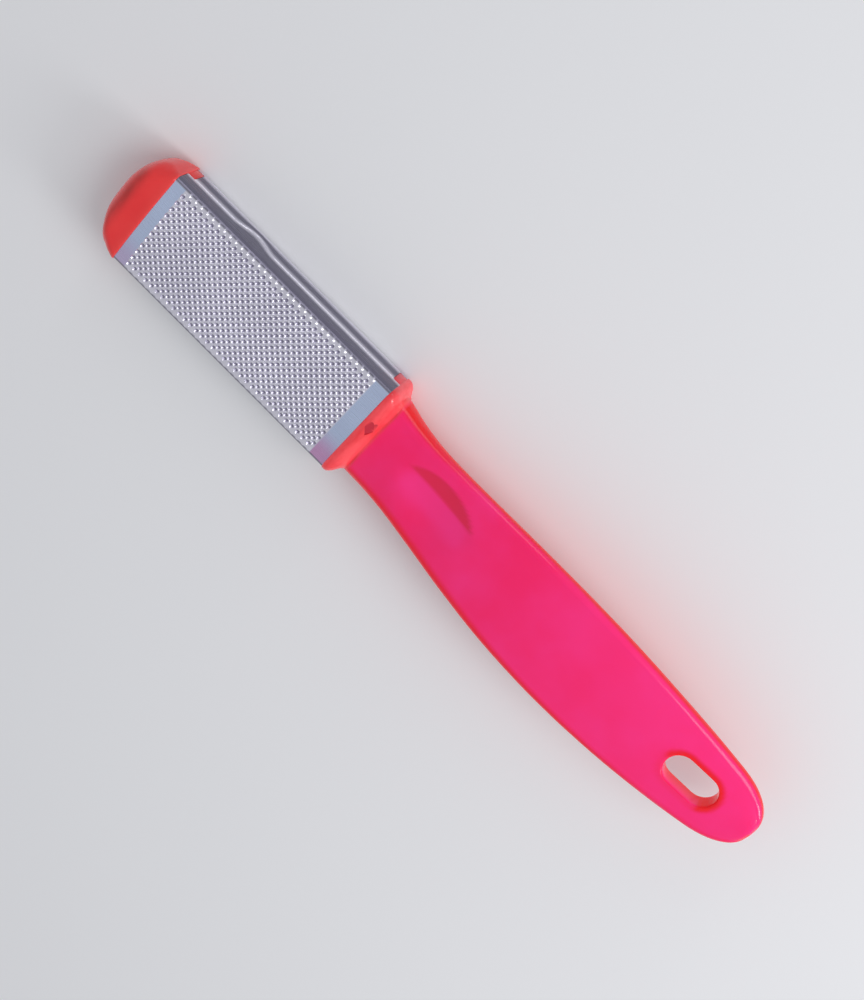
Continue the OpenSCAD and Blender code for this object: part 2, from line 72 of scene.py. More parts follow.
class Bench:
    """Operators used again and again, each on one piece and with a clear selection."""

    @staticmethod
    def clear() -> None:
        """Deselects everything, before a primitive is added."""
        bpy.ops.object.select_all(action="DESELECT")

    @staticmethod
    def only(piece: bpy.types.Object) -> None:
        """Selects one piece and nothing else, and makes it active.

        Args:
            piece: The piece to work on.
        """
        if bpy.context.object and bpy.context.object.mode != "OBJECT":
            bpy.ops.object.mode_set(mode="OBJECT")
        Bench.clear()
        piece.select_set(True)
        bpy.context.view_layer.objects.active = piece

    @staticmethod
    def added(name: str) -> bpy.types.Object:
        """Names the primitive that was just added.

        Args:
            name: Its name.

        Returns:
            The primitive's object.
        """
        piece = bpy.context.object
        piece.name = name
        piece.data.name = name
        return piece

    @staticmethod
    def open_all(piece: bpy.types.Object) -> None:
        """Opens edit mode with all of a piece selected.

        Args:
            piece: The mesh piece.
        """
        Bench.only(piece)
        bpy.ops.object.mode_set(mode="EDIT")
        bpy.ops.mesh.select_all(action="SELECT")

    @staticmethod
    def open_faces(piece: bpy.types.Object, rule: Callable[[Vector, Vector], bool]) -> None:
        """Opens edit mode with only the faces that a rule accepts.

        Args:
            piece: The mesh piece.
            rule: Takes a face's middle and normal.
        """
        Bench.only(piece)
        mesh = piece.data
        for elements in (mesh.vertices, mesh.edges, mesh.polygons):
            elements.foreach_set("select", np.zeros(len(elements), bool))
        for face in mesh.polygons:
            face.select = rule(face.center, face.normal)
        bpy.ops.object.mode_set(mode="EDIT")
        bpy.ops.mesh.select_mode(type="FACE")

    @staticmethod
    def close() -> None:
        """Leaves edit mode."""
        bpy.ops.object.mode_set(mode="OBJECT")

    @staticmethod
    def seal(piece: bpy.types.Object) -> None:
        """Merges doubles, fills open ends and turns every face outwards.

        Args:
            piece: The mesh piece.
        """
        Bench.open_all(piece)
        bpy.ops.mesh.remove_doubles(threshold=WELD)
        bpy.ops.mesh.fill_holes(sides=0)
        bpy.ops.mesh.select_all(action="SELECT")
        bpy.ops.mesh.normals_make_consistent(inside=False)
        Bench.close()

    @staticmethod
    def fix(piece: bpy.types.Object, **changes: object) -> None:
        """Moves, turns or scales a piece and applies that to its mesh.

        Args:
            piece: The piece.
            changes: The object's properties and their new values.
        """
        Bench.only(piece)
        for key, value in changes.items():
            setattr(piece, key, value)
        bpy.ops.object.transform_apply(location=True, rotation=True, scale=True)

    @staticmethod
    def apply(piece: bpy.types.Object, kind: str, **settings: object) -> None:
        """Adds a modifier and applies it.

        Args:
            piece: The piece.
            kind: The modifier's type.
            settings: Its properties and their values.
        """
        Bench.only(piece)
        modifier = piece.modifiers.new(kind.lower(), kind)
        for key, value in settings.items():
            setattr(modifier, key, value)
        bpy.ops.object.modifier_apply(modifier=modifier.name)

    @staticmethod
    def combine(piece: bpy.types.Object, tool: bpy.types.Object, how: Merge) -> None:
        """Joins a second solid to a piece, or cuts it away, and deletes the second.

        Args:
            piece: The piece that stays.
            tool: The second solid.
            how: Whether it is joined or cut away.
        """
        Bench.apply(piece, "BOOLEAN", object=tool, operation=how.value, solver="EXACT")
        Bench.only(tool)
        bpy.ops.object.delete()

    @staticmethod
    def read(piece: bpy.types.Object, name: str) -> np.ndarray:
        """Copies three numbers of every vertex.

        Args:
            piece: The mesh piece.
            name: Which numbers: "co" for places, "normal" for directions.

        Returns:
            One row for each vertex.
        """
        rows = np.empty(len(piece.data.vertices) * 3)
        piece.data.vertices.foreach_get(name, rows)
        return rows.reshape(-1, 3)

    @staticmethod
    def place(piece: bpy.types.Object, co: np.ndarray) -> None:
        """Moves a piece's vertices to new places, one row each."""
        piece.data.vertices.foreach_set("co", co.ravel())
        piece.data.update()

    @staticmethod
    def paint(piece: bpy.types.Object, name: str, value: np.ndarray) -> None:
        """Writes one number from 0 to 1 per vertex, as an attribute for the finishes."""
        layer = piece.data.attributes.new(name, "FLOAT", "POINT")
        layer.data.foreach_set("value", np.clip(value, 0, 1).astype(np.float32))

    @staticmethod
    def settle(piece: bpy.types.Object, node: str, slot: str, angle: float = 32.0) -> None:
        """Sets a finished piece into the frame, in metres, in place of its CAD node.

        Args:
            piece: The finished piece, in millimetres from the collar's face.
            node: The CAD node that it stands for.
            slot: The record's material slot, not used.
            angle: Edges sharper than this many degrees stay crisp.
        """
        Bench.fix(piece, scale=(MM, MM, MM), location=(COLLAR_FACE, 0, 0))
        bpy.ops.object.shade_smooth_by_angle(angle=math.radians(angle))
        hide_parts(node)
        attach(piece, "root")
        log.info("%s: %d faces", piece.name, len(piece.data.polygons))


def wrapped(name: str, along: int, around: int, rule: GridRule) -> bpy.types.Object:
    """Adds a grid and wraps it into a skin.

    Args:
        name: The piece's name.
        along: Number of faces along the grid's first side.
        around: Number of faces along its second side.
        rule: Takes each vertex's two whole-number places, returns its place in millimetres.

    Returns:
        The new piece.
    """
    Bench.clear()
    bpy.ops.mesh.primitive_grid_add(x_subdivisions=along, y_subdivisions=around, size=1)
    piece = Bench.added(name)
    flat = Bench.read(piece, "co")
    i = np.rint((flat[:, 0] + 0.5) * along).astype(int)
    j = np.rint((flat[:, 1] + 0.5) * around).astype(int)
    Bench.place(piece, rule(i, j))
    return piece


def smooth_curve(points: Sequence[Span], x: float) -> float:
    """Reads a smooth curve.

    Args:
        points: The curve's x and value, in order.
        x: Where it is read.

    Returns:
        The value there.
    """
    last = len(points) - 1
    i = 0
    while i < last - 1 and x >= points[i + 1][0]:
        i += 1

    def slope(k: int) -> float:
        """Returns the curve's slope at one of its points."""
        low, high = max(k - 1, 0), min(k + 1, last)
        return (points[high][1] - points[low][1]) / (points[high][0] - points[low][0])

    width = points[i + 1][0] - points[i][0]
    t = (x - points[i][0]) / width
    return (
        (2 * t**3 - 3 * t * t + 1) * points[i][1]
        + (t**3 - 2 * t * t + t) * width * slope(i)
        + (3 * t * t - 2 * t**3) * points[i + 1][1]
        + (t**3 - t * t) * width * slope(i + 1)
    )


def rising(value: np.ndarray, low: float, high: float) -> np.ndarray:
    """Goes smoothly from 0 at low to 1 at high."""
    t = np.clip((value - low) / (high - low), 0, 1)
    return t * t * (3 - 2 * t)


def bell(value: np.ndarray, middle: float, width: float) -> np.ndarray:
    """Returns 1 at a middle and falls off on both sides over a width."""
    return np.exp(-(((value - middle) / width) ** 2))


def round_in(distance: float, radius: float) -> float:
    """Returns how far a surface draws in at a distance from an edge rounded with a radius."""
    if distance >= radius:
        return 0.0
    return radius - math.sqrt(max(radius**2 - (radius - max(distance, 0)) ** 2, 0))


@dataclass(frozen=True)
class Station:
    """One cross section of a moulding."""

    x: float
    middle: float
    half_width: float
    half_height: float
    corner: float
    drop: float

    def ring(self, face: int, arc: int) -> list[tuple[float, float, float]]:
        """Lists the section's points, from the top's edge across it and all the way round.

        Args:
            face: Number of steps across the top, and across the bottom.
            arc: Number of steps round each corner.

        Returns:
            The points in order.
        """
        flat = self.half_width - self.corner
        up = self.half_height - self.corner - self.drop
        turns = [math.radians(90 * k / arc) for k in range(1, arc + 1)]
        corners = [(turn, 1) for turn in turns] + [(turn, -1) for turn in reversed(turns)]
        points = []
        for side in (1, -1):
            for k in range(face + 1):
                t = side * (2 * k / face - 1)
                z = side * (up + self.corner + self.drop * (1 - t * t))
                points.append((self.x, t * flat, self.middle + z))
            for turn, over in corners:
                y = side * (flat + self.corner * math.sin(turn))
                z = over * side * (up + self.corner * math.cos(turn))
                points.append((self.x, y, self.middle + z))
        return points


def moulding(name: str, stations: Sequence[Station], face: int = 24, arc: int = 7) -> bpy.types.Object:
    """Wraps a grid round a row of stations and closes both ends.

    Args:
        name: The piece's name.
        stations: Its sections, in order along x.
        face: Number of steps across each section's top.
        arc: Number of steps round each corner.

    Returns:
        The closed piece.
    """
    rings = np.array([s.ring(face, arc) for s in stations])
    around = rings.shape[1]
    piece = wrapped(name, len(stations) - 1, around, lambda i, j: rings[i, j % around])
    Bench.seal(piece)
    return piece


# Sizes that the pieces share


@dataclass(frozen=True)
class HeadSizes:
    """Sizes of the flat head, in millimetres, with x from the collar's front face."""

    show: float = 76.5
    width: float = 29.9
    height: float = 15.5
    crown: float = 128.0
    bend: float = 1.9
    sheet: float = 0.5
    rim_up: float = 0.6
    rim_out: float = 0.25
    tuck: float = 1.5
    gap: float = 0.1
    cap: float = 11.1
    collar: float = 5.0
    seam_up: float = 0.5
    tongue_cap: float = 2.2
    tongue_collar: float = 2.3
    least_corner: float = 0.4
    end_corner: float = 3.6

    @property
    def half_width(self) -> float:
        """Half the width across the steel."""
        return self.width / 2

    @property
    def half_height(self) -> float:
        """Half the height between the crowns."""
        return self.height / 2

    @property
    def middle(self) -> float:
        """Height of the head's middle above the floor."""
        return self.rim_up + self.half_height

    @property
    def front(self) -> float:
        """Place of the cap's edge."""
        return -self.show

    @property
    def nose(self) -> float:
        """Place of the cap's outermost point."""
        return self.front - self.cap

    @property
    def bend_y(self) -> float:
        """Width at which the bend starts."""
        return self.half_width - self.bend

    @property
    def bend_z(self) -> float:
        """Height of the bend's middle over the head's middle."""
        return self.half_height - self.crown + math.sqrt((self.crown - self.bend) ** 2 - self.bend_y**2)

    def inset(self, x: float, depth: float) -> Station:
        """Gives the section of the steel head, made smaller.

        Args:
            x: Where it is taken.
            depth: How much smaller it is all round.

        Returns:
            The section.
        """
        a, b = self.half_width - depth, self.half_height - depth
        corner = max(self.bend - depth, self.least_corner)
        return Station(x, self.middle, a, b, corner, (a - corner) ** 2 / (2 * (self.crown - depth)))

    def rim(self, x: float, depth: float, corner: float, wide: float = 1.0, high: float = 1.0) -> Station:
        """Gives a section as large as the collar's rim, made smaller.

        Args:
            x: Where it is taken.
            depth: How much smaller it is all round.
            corner: Radius of its corners at full size.
            wide: Share of its width that is left.
            high: Share of its height that is left.

        Returns:
            The section.
        """
        a = (self.half_width + self.rim_out - depth) * wide
        b = (self.half_height + self.rim_up - depth) * high
        r = min(corner + self.end_corner * (1 - high), a * 0.8, b * 0.85)
        return Station(x, self.middle, a, b, r, min((a - r) ** 2 / (2 * self.crown), (b - r) * 0.9))


HEAD = HeadSizes()


# Finishes


class Nodes:
    """Builds one node material, link by link."""

    def __init__(self, name: str) -> None:
        """Starts an empty material with one shader and its output.

        Args:
            name: The material's name.
        """
        self.material = bpy.data.materials.new(name)
        self.material.use_nodes = True
        self.tree = self.material.node_tree
        self.tree.nodes.clear()
        self.shader = self.add("ShaderNodeBsdfPrincipled")
        output = self.add("ShaderNodeOutputMaterial")
        self.tree.links.new(self.shader.outputs["BSDF"], output.inputs["Surface"])

    def add(self, kind: str, **settings: object) -> bpy.types.Node:
        """Adds a node.

        Args:
            kind: The node's type.
            settings: Its properties and their values.

        Returns:
            The node.
        """
        node = self.tree.nodes.new(kind)
        for key, value in settings.items():
            setattr(node, key, value)
        return node

    def link(self, value: object, socket: bpy.types.NodeSocket) -> None:
        """Feeds a socket from another socket, or sets it.

        Args:
            value: A socket, a number or a colour.
            socket: The socket that takes it.
        """
        if isinstance(value, bpy.types.NodeSocket):
            self.tree.links.new(value, socket)
        else:
            socket.default_value = value

    def place(self, scale: tuple[float, float, float] = (1, 1, 1)) -> bpy.types.NodeSocket:
        """Reads Object coordinates.

        Args:
            scale: Their scale on each axis.

        Returns:
            The scaled coordinates.
        """
        source = self.add("ShaderNodeTexCoord")
        mapping = self.add("ShaderNodeMapping")
        mapping.inputs["Scale"].default_value = scale
        self.tree.links.new(source.outputs["Object"], mapping.inputs["Vector"])
        return mapping.outputs["Vector"]

    def painted(self, name: str) -> bpy.types.NodeSocket:
        """Returns a painted attribute as a number."""
        return self.add("ShaderNodeAttribute", attribute_name=name).outputs["Fac"]

    def noise(
        self, vector: bpy.types.NodeSocket, scale: float, detail: float = 3.0, rough: float = 0.5
    ) -> bpy.types.NodeSocket:
        """Makes a noise pattern.

        Args:
            vector: Where it is read.
            scale: How fine it is.
            detail: How many finer layers it has.
            rough: How strong these are.

        Returns:
            The pattern as a number.
        """
        node = self.add("ShaderNodeTexNoise")
        for key, value in (("Vector", vector), ("Scale", scale), ("Detail", detail), ("Roughness", rough)):
            self.link(value, node.inputs[key])
        return node.outputs["Fac"]

    def mix(self, share: object, first: object, second: object) -> bpy.types.NodeSocket:
        """Mixes two colours.

        Args:
            share: The second colour's share.
            first: The first colour.
            second: The second colour.

        Returns:
            The mixed colour.
        """
        node = self.add("ShaderNodeMix", data_type="RGBA")
        for place, value in ((0, share), (6, first), (7, second)):
            self.link(value, node.inputs[place])
        return node.outputs[2]

    def math(self, operation: str, first: object, second: object) -> bpy.types.NodeSocket:
        """Adds or multiplies two numbers.

        Args:
            operation: The sum's name.
            first: The first number.
            second: The second number.

        Returns:
            The result.
        """
        node = self.add("ShaderNodeMath", operation=operation)
        self.link(first, node.inputs[0])
        self.link(second, node.inputs[1])
        return node.outputs[0]

    def ranged(self, value: bpy.types.NodeSocket, old: Span, new: Span) -> bpy.types.NodeSocket:
        """Moves a number from one range to another and holds it there.

        Args:
            value: The number.
            old: The range that it is read in.
            new: The range that it is moved to.

        Returns:
            The moved number.
        """
        node = self.add("ShaderNodeMapRange")
        keys = ("Value", "From Min", "From Max", "To Min", "To Max")
        for key, number in zip(keys, (value, *old, *new)):
            self.link(number, node.inputs[key])
        return node.outputs["Result"]

    def bump(self, height: bpy.types.NodeSocket, distance: float, strength: float) -> None:
        """Feeds the shader's normal from a height.

        Args:
            height: The height, from 0 to 1.
            distance: How high 1 is, in metres.
            strength: How much of it shows.
        """
        node = self.add("ShaderNodeBump")
        for key, value in (("Distance", distance), ("Strength", strength), ("Height", height)):
            self.link(value, node.inputs[key])
        self.link(node.outputs["Normal"], self.shader.inputs["Normal"])

    def set(self, **values: object) -> None:
        """Sets or feeds the shader's sockets, named with underscores for spaces."""
        for key, value in values.items():
            self.link(value, self.shader.inputs[key.replace("_", " ")])


def shade(red: float, green: float, blue: float) -> Colour:
    """Turns a screen colour into a shader colour.

    Args:
        red: Its red, from 0 to 255.
        green: Its green.
        blue: Its blue.

    Returns:
        The shader's colour.
    """

    def linear(value: float) -> float:
        """Takes the screen's curve out of one channel."""
        share = value / 255
        return share / 12.92 if share <= 0.04045 else ((share + 0.055) / 1.055) ** 2.4

    return linear(red), linear(green), linear(blue), 1.0


@dataclass(frozen=True)
class Plastic:
    """What both mouldings' plastic shares: gloss, depth and a faint waviness."""

    rough: Span = (0.14, 0.2)
    ior: float = 1.49
    specular: float = 0.35
    under: float = 0.22
    under_reach: float = 0.004
    coat: float = 0.2
    coat_rough: float = 0.09
    wave_height: float = 0.00004
    wave_strength: float = 0.5

    def gloss(self, n: Nodes, colour: bpy.types.NodeSocket, spread: tuple[float, float, float]) -> None:
        """Sets the shader's colour, gloss and depth.

        Args:
            n: The material's nodes.
            colour: The plastic's colour.
            spread: How far red, green and blue light travel under the surface.
        """
        here = n.place()
        n.set(
            Base_Color=colour,
            Roughness=n.ranged(n.noise(here, scale=900.0, detail=2.0), (0.3, 0.7), self.rough),
            IOR=self.ior,
            Specular_IOR_Level=self.specular,
            Subsurface_Weight=self.under,
            Subsurface_Radius=spread,
            Subsurface_Scale=self.under_reach,
            Coat_Weight=self.coat,
            Coat_Roughness=self.coat_rough,
        )
        n.bump(n.noise(here, scale=120.0, detail=2.0), self.wave_height, self.wave_strength)


@dataclass(frozen=True)
class GlowingPlastic(Plastic):
    """Translucent fluorescent plastic, hot pink over its broad faces and red at its edges; the red edges and
    a faint emission all over are painted glow.
    """

    name: str = "glowing_pink_plastic"
    face: Colour = shade(238, 20, 98)
    face_pale: Colour = shade(240, 44, 130)
    # The red of the edges, a painted glow; the colour after the next one feeds the emission there
    edge: Colour = shade(216, 8, 22)
    collar: Colour = shade(242, 78, 86)
    # The colour of the painted shade on the dish's steep upper wall
    deep: Colour = shade(212, 22, 60)
    # The colour of painted shade in the groove, the heart and on the carrier
    recess_shade: Colour = shade(176, 26, 50)
    edge_glow: Colour = (1.3, 0.01, 0.02, 1.0)
    # An emission all over the plastic: painted glow
    glow: float = 0.15

    def make(self) -> bpy.types.Material:
        """Builds the material, which reads the paints edge, collar, dish, pale and the one for recesses: edge
        is painted glow, dish and the recess paint are painted shade, and pale is paler towards the tail with
        a painted highlight in the dish.

        Returns:
            The material.
        """
        n = Nodes(self.name)
        cloud = n.noise(n.place(), scale=46.0, rough=0.55)
        face = n.mix(n.ranged(cloud, (0.36, 0.66), (0.0, 0.55)), self.face, self.face_pale)
        # Paler towards the tail, and a painted highlight on the dish's lower slope
        face = n.mix(n.math("MULTIPLY", n.painted("pale"), 0.7), face, self.face_pale)
        # Painted glow: the edges turn red
        face = n.mix(n.painted("edge"), face, self.edge)
        # Painted shade: a darker crescent on the dish's steep upper wall
        face = n.mix(n.painted("dish"), face, self.deep)
        smear = n.noise(n.place((1.0, 0.35, 0.35)), scale=320.0, rough=0.6)
        coral = n.mix(n.ranged(smear, (0.4, 0.72), (0.0, 0.6)), self.collar, self.edge)
        face = n.mix(n.painted("collar"), face, coral)
        # Painted shade in the groove behind the collar, in the sunk heart and on the carrier
        face = n.mix(n.painted("recess_shade"), face, self.recess_shade)
        self.gloss(n, face, (1.0, 0.25, 0.3))
        # Painted glow: a faint emission of the face colour, much stronger and redder at the edges
        n.set(Emission_Color=n.mix(n.painted("edge"), face, self.edge_glow), Emission_Strength=self.glow)
        return n.material


@dataclass(frozen=True)
class CoralPlastic(Plastic):
    """The same plastic where it is thick and curved: coral red with darker streaks, painted shade where the
    nose turns down, and a faint emission that is painted glow.
    """

    name: str = "coral_red_plastic"
    body: Colour = shade(226, 48, 50)
    light: Colour = shade(236, 64, 62)
    # The colour of the streak: painted shade where the nose turns down
    streak: Colour = shade(178, 42, 40)
    # A faint emission of the body colour: painted glow
    glow: float = 0.1

    def make(self) -> bpy.types.Material:
        """Builds the material, which reads the paints streak, painted shade over the nose and darker on the
        tongues, and lip.

        Returns:
            The material.
        """
        n = Nodes(self.name)
        cloud = n.noise(n.place(), scale=90.0)
        body = n.mix(n.ranged(cloud, (0.35, 0.7), (0.0, 0.6)), self.body, self.light)
        body = n.mix(n.math("MULTIPLY", n.painted("lip"), 0.6), body, self.light)
        smear = n.noise(n.place((0.6, 0.25, 0.6)), scale=300.0, detail=4.0, rough=0.6)
        # Painted shade: a darker streak over the nose, also laid over the tongues
        share = n.math("MULTIPLY", n.painted("streak"), n.ranged(smear, (0.32, 0.6), (0.25, 1.0)))
        body = n.mix(share, body, self.streak)
        self.gloss(n, body, (1.0, 0.25, 0.2))
        # Painted glow: a faint emission of the body colour
        n.set(Emission_Color=body, Emission_Strength=self.glow)
        return n.material


@dataclass(frozen=True)
class RolledSteel:
    """Stamped stainless sheet: bright, rolled along the head, with painted shade in the punched pits, a
    painted dark reflection on its walls and a painted pink reflection at the low ends of its margins.
    """

    name: str = "rolled_stainless_steel"
    plain: Colour = shade(212, 226, 255)
    tooth: Colour = shade(246, 243, 255)
    # The colour of the painted shade in the pits
    pit: Colour = shade(166, 162, 182)
    # The colour of the painted dark reflection on the walls, also used in the random mottling
    wall: Colour = shade(118, 115, 132)
    # The colour of the painted pink reflection of the plastic ends
    pink_reflection: Colour = shade(226, 162, 210)
    rough: Span = (0.2, 0.32)
    pit_rough: float = 0.3
    grain_height: float = 0.00002
    grain_strength: float = 0.35

    def make(self) -> bpy.types.Material:
        """Builds the material, which reads the paints field, pit, wall and the pink one: painted shade in the
        pits, a painted dark reflection on the walls and a painted pink reflection.

        Returns:
            The material.
        """
        n = Nodes(self.name)
        grain = n.noise(n.place((0.06, 1.0, 1.0)), scale=1500.0, detail=4.0, rough=0.6)
        cloud = n.noise(n.place(), scale=60.0)
        metal = n.mix(n.painted("field"), self.plain, self.tooth)
        # Painted reflection: a pink tint at the margins' low ends
        metal = n.mix(n.painted("pink_reflection"), metal, self.pink_reflection)
        # Painted dark reflection: darker on the walls
        metal = n.mix(n.painted("wall"), metal, self.wall)
        metal = n.mix(n.ranged(cloud, (0.3, 0.8), (0.0, 0.16)), metal, self.wall)
        # Painted shade: darker in the pits
        metal = n.mix(n.painted("pit"), metal, self.pit)
        dull = n.math("MULTIPLY", n.painted("pit"), self.pit_rough)
        rough = n.math("ADD", n.ranged(grain, (0.3, 0.7), self.rough), dull)
        n.set(Base_Color=metal, Metallic=1.0, Roughness=rough)
        n.bump(grain, self.grain_height, self.grain_strength)
        return n.material


# Sub-assemblies


@dataclass
class RaspPlate:
    """One stamped plate: a crowned face with punched teeth, two bends and two walls.

    The pits' and arcs' sizes are shares: along x of the pitch, across y of the row,
    and the others of a pit's own radius.
    """

    name: str
    node: str
    pitch: float
    row: float
    rise: float
    turned: bool = False
    margin: float = 3.6
    tab_len: float = 15.0
    tab_drop: float = 2.7
    tab_place: float = -53.0
    seam_gap: float = 0.2
    rolled: float = 0.28
    tab_rolled: float = 0.08
    pit_along: float = 0.215
    pit_across: float = 0.285
    pit_edge: Span = (0.5, 1.05)
    pit_sink: float = 0.3
    arc_radius: float = 1.12
    arc_width: float = 0.36
    arc_low: float = 0.35
    dome_width: float = 0.95
    dome_high: float = 0.9
    dome_rows: float = 0.4
    skin_off: float = 0.05
    field_more: float = 0.1
    field_fade: Span = (-0.1, 0.25)
    pink_reflection_fade: Span = (4, 12)
    pink_reflection_ends: Span = (0.4, 0.85)
    wall_from_side: Span = (1.3, 0.85)
    wall_off_edge: Span = (0.15, 0.6)
    wall_top: float = 1.5
    wall_top_turned: float = -0.6
    wall_fade: float = 0.7
    tuck_line: float = 0.9
    margin_lines: tuple = (0.5, 1.8, 2.8)
    line_gap: float = 0.09
    per_tooth: int = 8
    per_row: int = 6
    bend_steps: int = 7
    wall_steps: int = 3
    teeth_along: int = field(init=False)
    teeth_across: int = field(init=False)

    def __post_init__(self) -> None:
        """Counts the teeth that fit in the field."""
        self.teeth_along = math.floor((HEAD.show - 2 * self.margin) / self.pitch)
        self.teeth_across = 2 * math.floor((HEAD.bend_y + 0.5) / (self.row / 2)) + 2

    @property
    def half_field(self) -> float:
        """Half the length of the field of teeth, with the staggered rows."""
        return (4 * self.teeth_along + 2) / 8 * self.pitch

    @property
    def open_wall(self) -> Span:
        """Where the notched wall starts and ends, clear of the tongues."""
        return HEAD.front + HEAD.tongue_cap + HEAD.gap, -HEAD.tongue_collar - HEAD.gap

    def surface(self, y: np.ndarray) -> np.ndarray:
        """Gives the sheet's height over the head's middle.

        Args:
            y: Where it is read, across the head.

        Returns:
            The height there.
        """
        reach = HEAD.bend_y * (1 + HEAD.bend / (HEAD.crown - HEAD.bend))
        crown = HEAD.half_height - HEAD.crown + np.sqrt(HEAD.crown**2 - y * y)
        bend = HEAD.bend_z + np.sqrt(np.maximum(HEAD.bend**2 - (np.abs(y) - HEAD.bend_y) ** 2, 0))
        return np.where(np.abs(y) < reach, crown, bend)

    def columns(self) -> np.ndarray:
        """Places the sheet's grid lines along x: close together in the field, few beside it.

        Returns:
            Their places, in order.
        """
        steps = np.arange(-2, self.teeth_along * self.per_tooth + self.per_tooth // 2 + 3)
        inside = HEAD.front / 2 - self.half_field + steps * self.pitch / self.per_tooth
        for cut in self.open_wall:
            inside = inside[np.abs(inside - cut) > self.line_gap]
        front = HEAD.front - HEAD.tuck
        plain = np.array([front, front + self.tuck_line, *(HEAD.front + m for m in self.margin_lines)])
        return np.unique(np.concatenate([plain, inside, self.open_wall, HEAD.front - plain]))

    def rows(self) -> np.ndarray:
        """Returns the face's grid lines across y."""
        edge = (self.teeth_across / 2 - 0.5) * self.row / 2
        count = (self.teeth_across - 1) * self.per_row
        return np.linspace(-edge, edge, count + 1)

    def tab(self, x: np.ndarray, grow: float) -> np.ndarray:
        """Gives the tab's shape as a smooth bump, 1 high.

        Args:
            x: Where it is read.
            grow: How much longer it is at each end.

        Returns:
            The height there.
        """
        half = self.tab_len / 2 + grow
        away = np.minimum(np.abs(x - self.tab_place) / half, 1)
        return 0.5 + 0.5 * np.cos(np.pi * away)

    def seam(self, x: np.ndarray) -> tuple[np.ndarray, np.ndarray]:
        """Gives the heights of both walls' edges over the head's middle.

        Args:
            x: Where they are read.

        Returns:
            The tabbed wall's edge and the notched wall's.
        """
        deep = self.tab_drop + self.seam_gap / 4
        tab = HEAD.seam_up + self.seam_gap / 2 - self.tab_drop * self.tab(x, 0)
        notch = -HEAD.seam_up + self.seam_gap / 2 + deep * self.tab(x, self.seam_gap)
        return tab, notch

    def wall(self, side: int, edge: np.ndarray, roll: float) -> list[tuple[float, np.ndarray]]:
        """Lists a wall's grid lines, from its rolled edge up to the bend.

        Args:
            side: 1 for the wall at plus y, -1 for the one at minus y.
            edge: Height of its edge at each column.
            roll: Radius that its edge is rolled in with.

        Returns:
            The lines' places across y and their heights.
        """
        lines = []
        for turn in (math.radians(degrees) for degrees in (0, 30, 60)):
            y = HEAD.half_width - roll * (1 - math.sin(turn))
            lines.append((side * y, edge + roll * (1 - math.cos(turn))))
        for k in range(self.wall_steps):
            share = k / self.wall_steps
            lines.append((side * HEAD.half_width, edge + roll + (HEAD.bend_z - edge - roll) * share))
        return lines

    def skin(self) -> bpy.types.Object:
        """Wraps a grid into the plain sheet: wall, bend, crowned face, bend and wall.

        Returns:
            The sheet's outer skin.
        """
        xs, ys = self.columns(), self.rows()
        start = math.asin((ys[-1] - HEAD.bend_y) / HEAD.bend)
        turns = np.linspace(start, math.pi / 2, self.bend_steps + 1)[1:]
        bend = [(HEAD.bend_y + HEAD.bend * math.sin(t), HEAD.bend_z + HEAD.bend * math.cos(t)) for t in turns]
        tab_edge, notch_edge = self.seam(xs)
        lines = self.wall(-1, notch_edge, self.rolled)
        lines += [(-y, np.full_like(xs, z)) for y, z in reversed(bend)]
        lines += [(y, np.full_like(xs, self.surface(np.array(y)))) for y in ys]
        lines += [(y, np.full_like(xs, z)) for y, z in bend]
        lines += reversed(self.wall(1, tab_edge, self.tab_rolled))
        across = np.array([y for y, _ in lines])
        heights = np.array([z for _, z in lines])

        def place(i: np.ndarray, j: np.ndarray) -> np.ndarray:
            """Gives the place of each of the grid's vertices."""
            return np.stack([xs[i], across[j], heights[j, i]], axis=1)

        return wrapped(self.name, len(xs) - 1, len(lines) - 1, place)

    def cut_back(self, piece: bpy.types.Object) -> None:
        """Deletes the ends of the notched wall, which the tongues fill.

        Args:
            piece: The plate's skin.
        """
        front, back = self.open_wall
        wall_y = -HEAD.half_width + 0.01
        Bench.open_faces(piece, lambda c, n: c.y < wall_y and c.z < HEAD.bend_z and not front < c.x < back)
        bpy.ops.mesh.delete(type="FACE")
        Bench.close()

    def relief(self, x: np.ndarray, y: np.ndarray) -> tuple[np.ndarray, np.ndarray]:
        """Gives the punched relief: an arc beside each pit, and round domes in the outer rows.

        Args:
            x: Where it is read, along the head.
            y: Where it is read, across the head.

        Returns:
            The height over the sheet, and how deep in a pit each point is, from 0 to 1.
        """
        along = (x - HEAD.front / 2 + self.half_field) / self.pitch
        across = y / (self.row / 2) + self.teeth_across / 2
        best = np.full(x.shape, FAR_OFF)
        du, dv = np.zeros_like(x), np.zeros_like(x)
        for parity in (0, 1):
            shift = 0.25 + parity / 2
            j = 2 * np.rint((across - parity) / 2) + parity
            k = np.rint(along - shift)
            u = (along - shift - k) * self.pitch
            v = (across - j) * self.row / 2
            inside = (j > 0) & (j < self.teeth_across) & (k >= 0) & (k < self.teeth_along)
            far = np.where(inside, np.hypot(u / self.pitch, v / self.row), FAR_OFF)
            nearer = far < best
            best = np.where(nearer, far, best)
            du, dv = np.where(nearer, u, du), np.where(nearer, v, dv)
        radius = np.hypot(du / (self.pit_along * self.pitch), dv / (self.pit_across * self.row))
        lean = 0.72 - 0.28 * du / (0.3 * self.pitch)
        arc = self.rise * bell(radius, self.arc_radius, self.arc_width) * np.clip(lean, self.arc_low, 1.0)
        dome = self.rise * self.dome_high * bell(radius, 0, self.dome_width)
        outer_row = np.abs(y - dv) > HEAD.bend_y - self.dome_rows
        hole = np.where(outer_row, 0, 1 - rising(radius, *self.pit_edge))
        height = np.where(outer_row, dome, arc - hole * (self.rise * self.pit_sink + self.pit_sink))
        seen = best < FAR_OFF
        return np.where(seen, height, 0), np.where(seen, hole, 0)

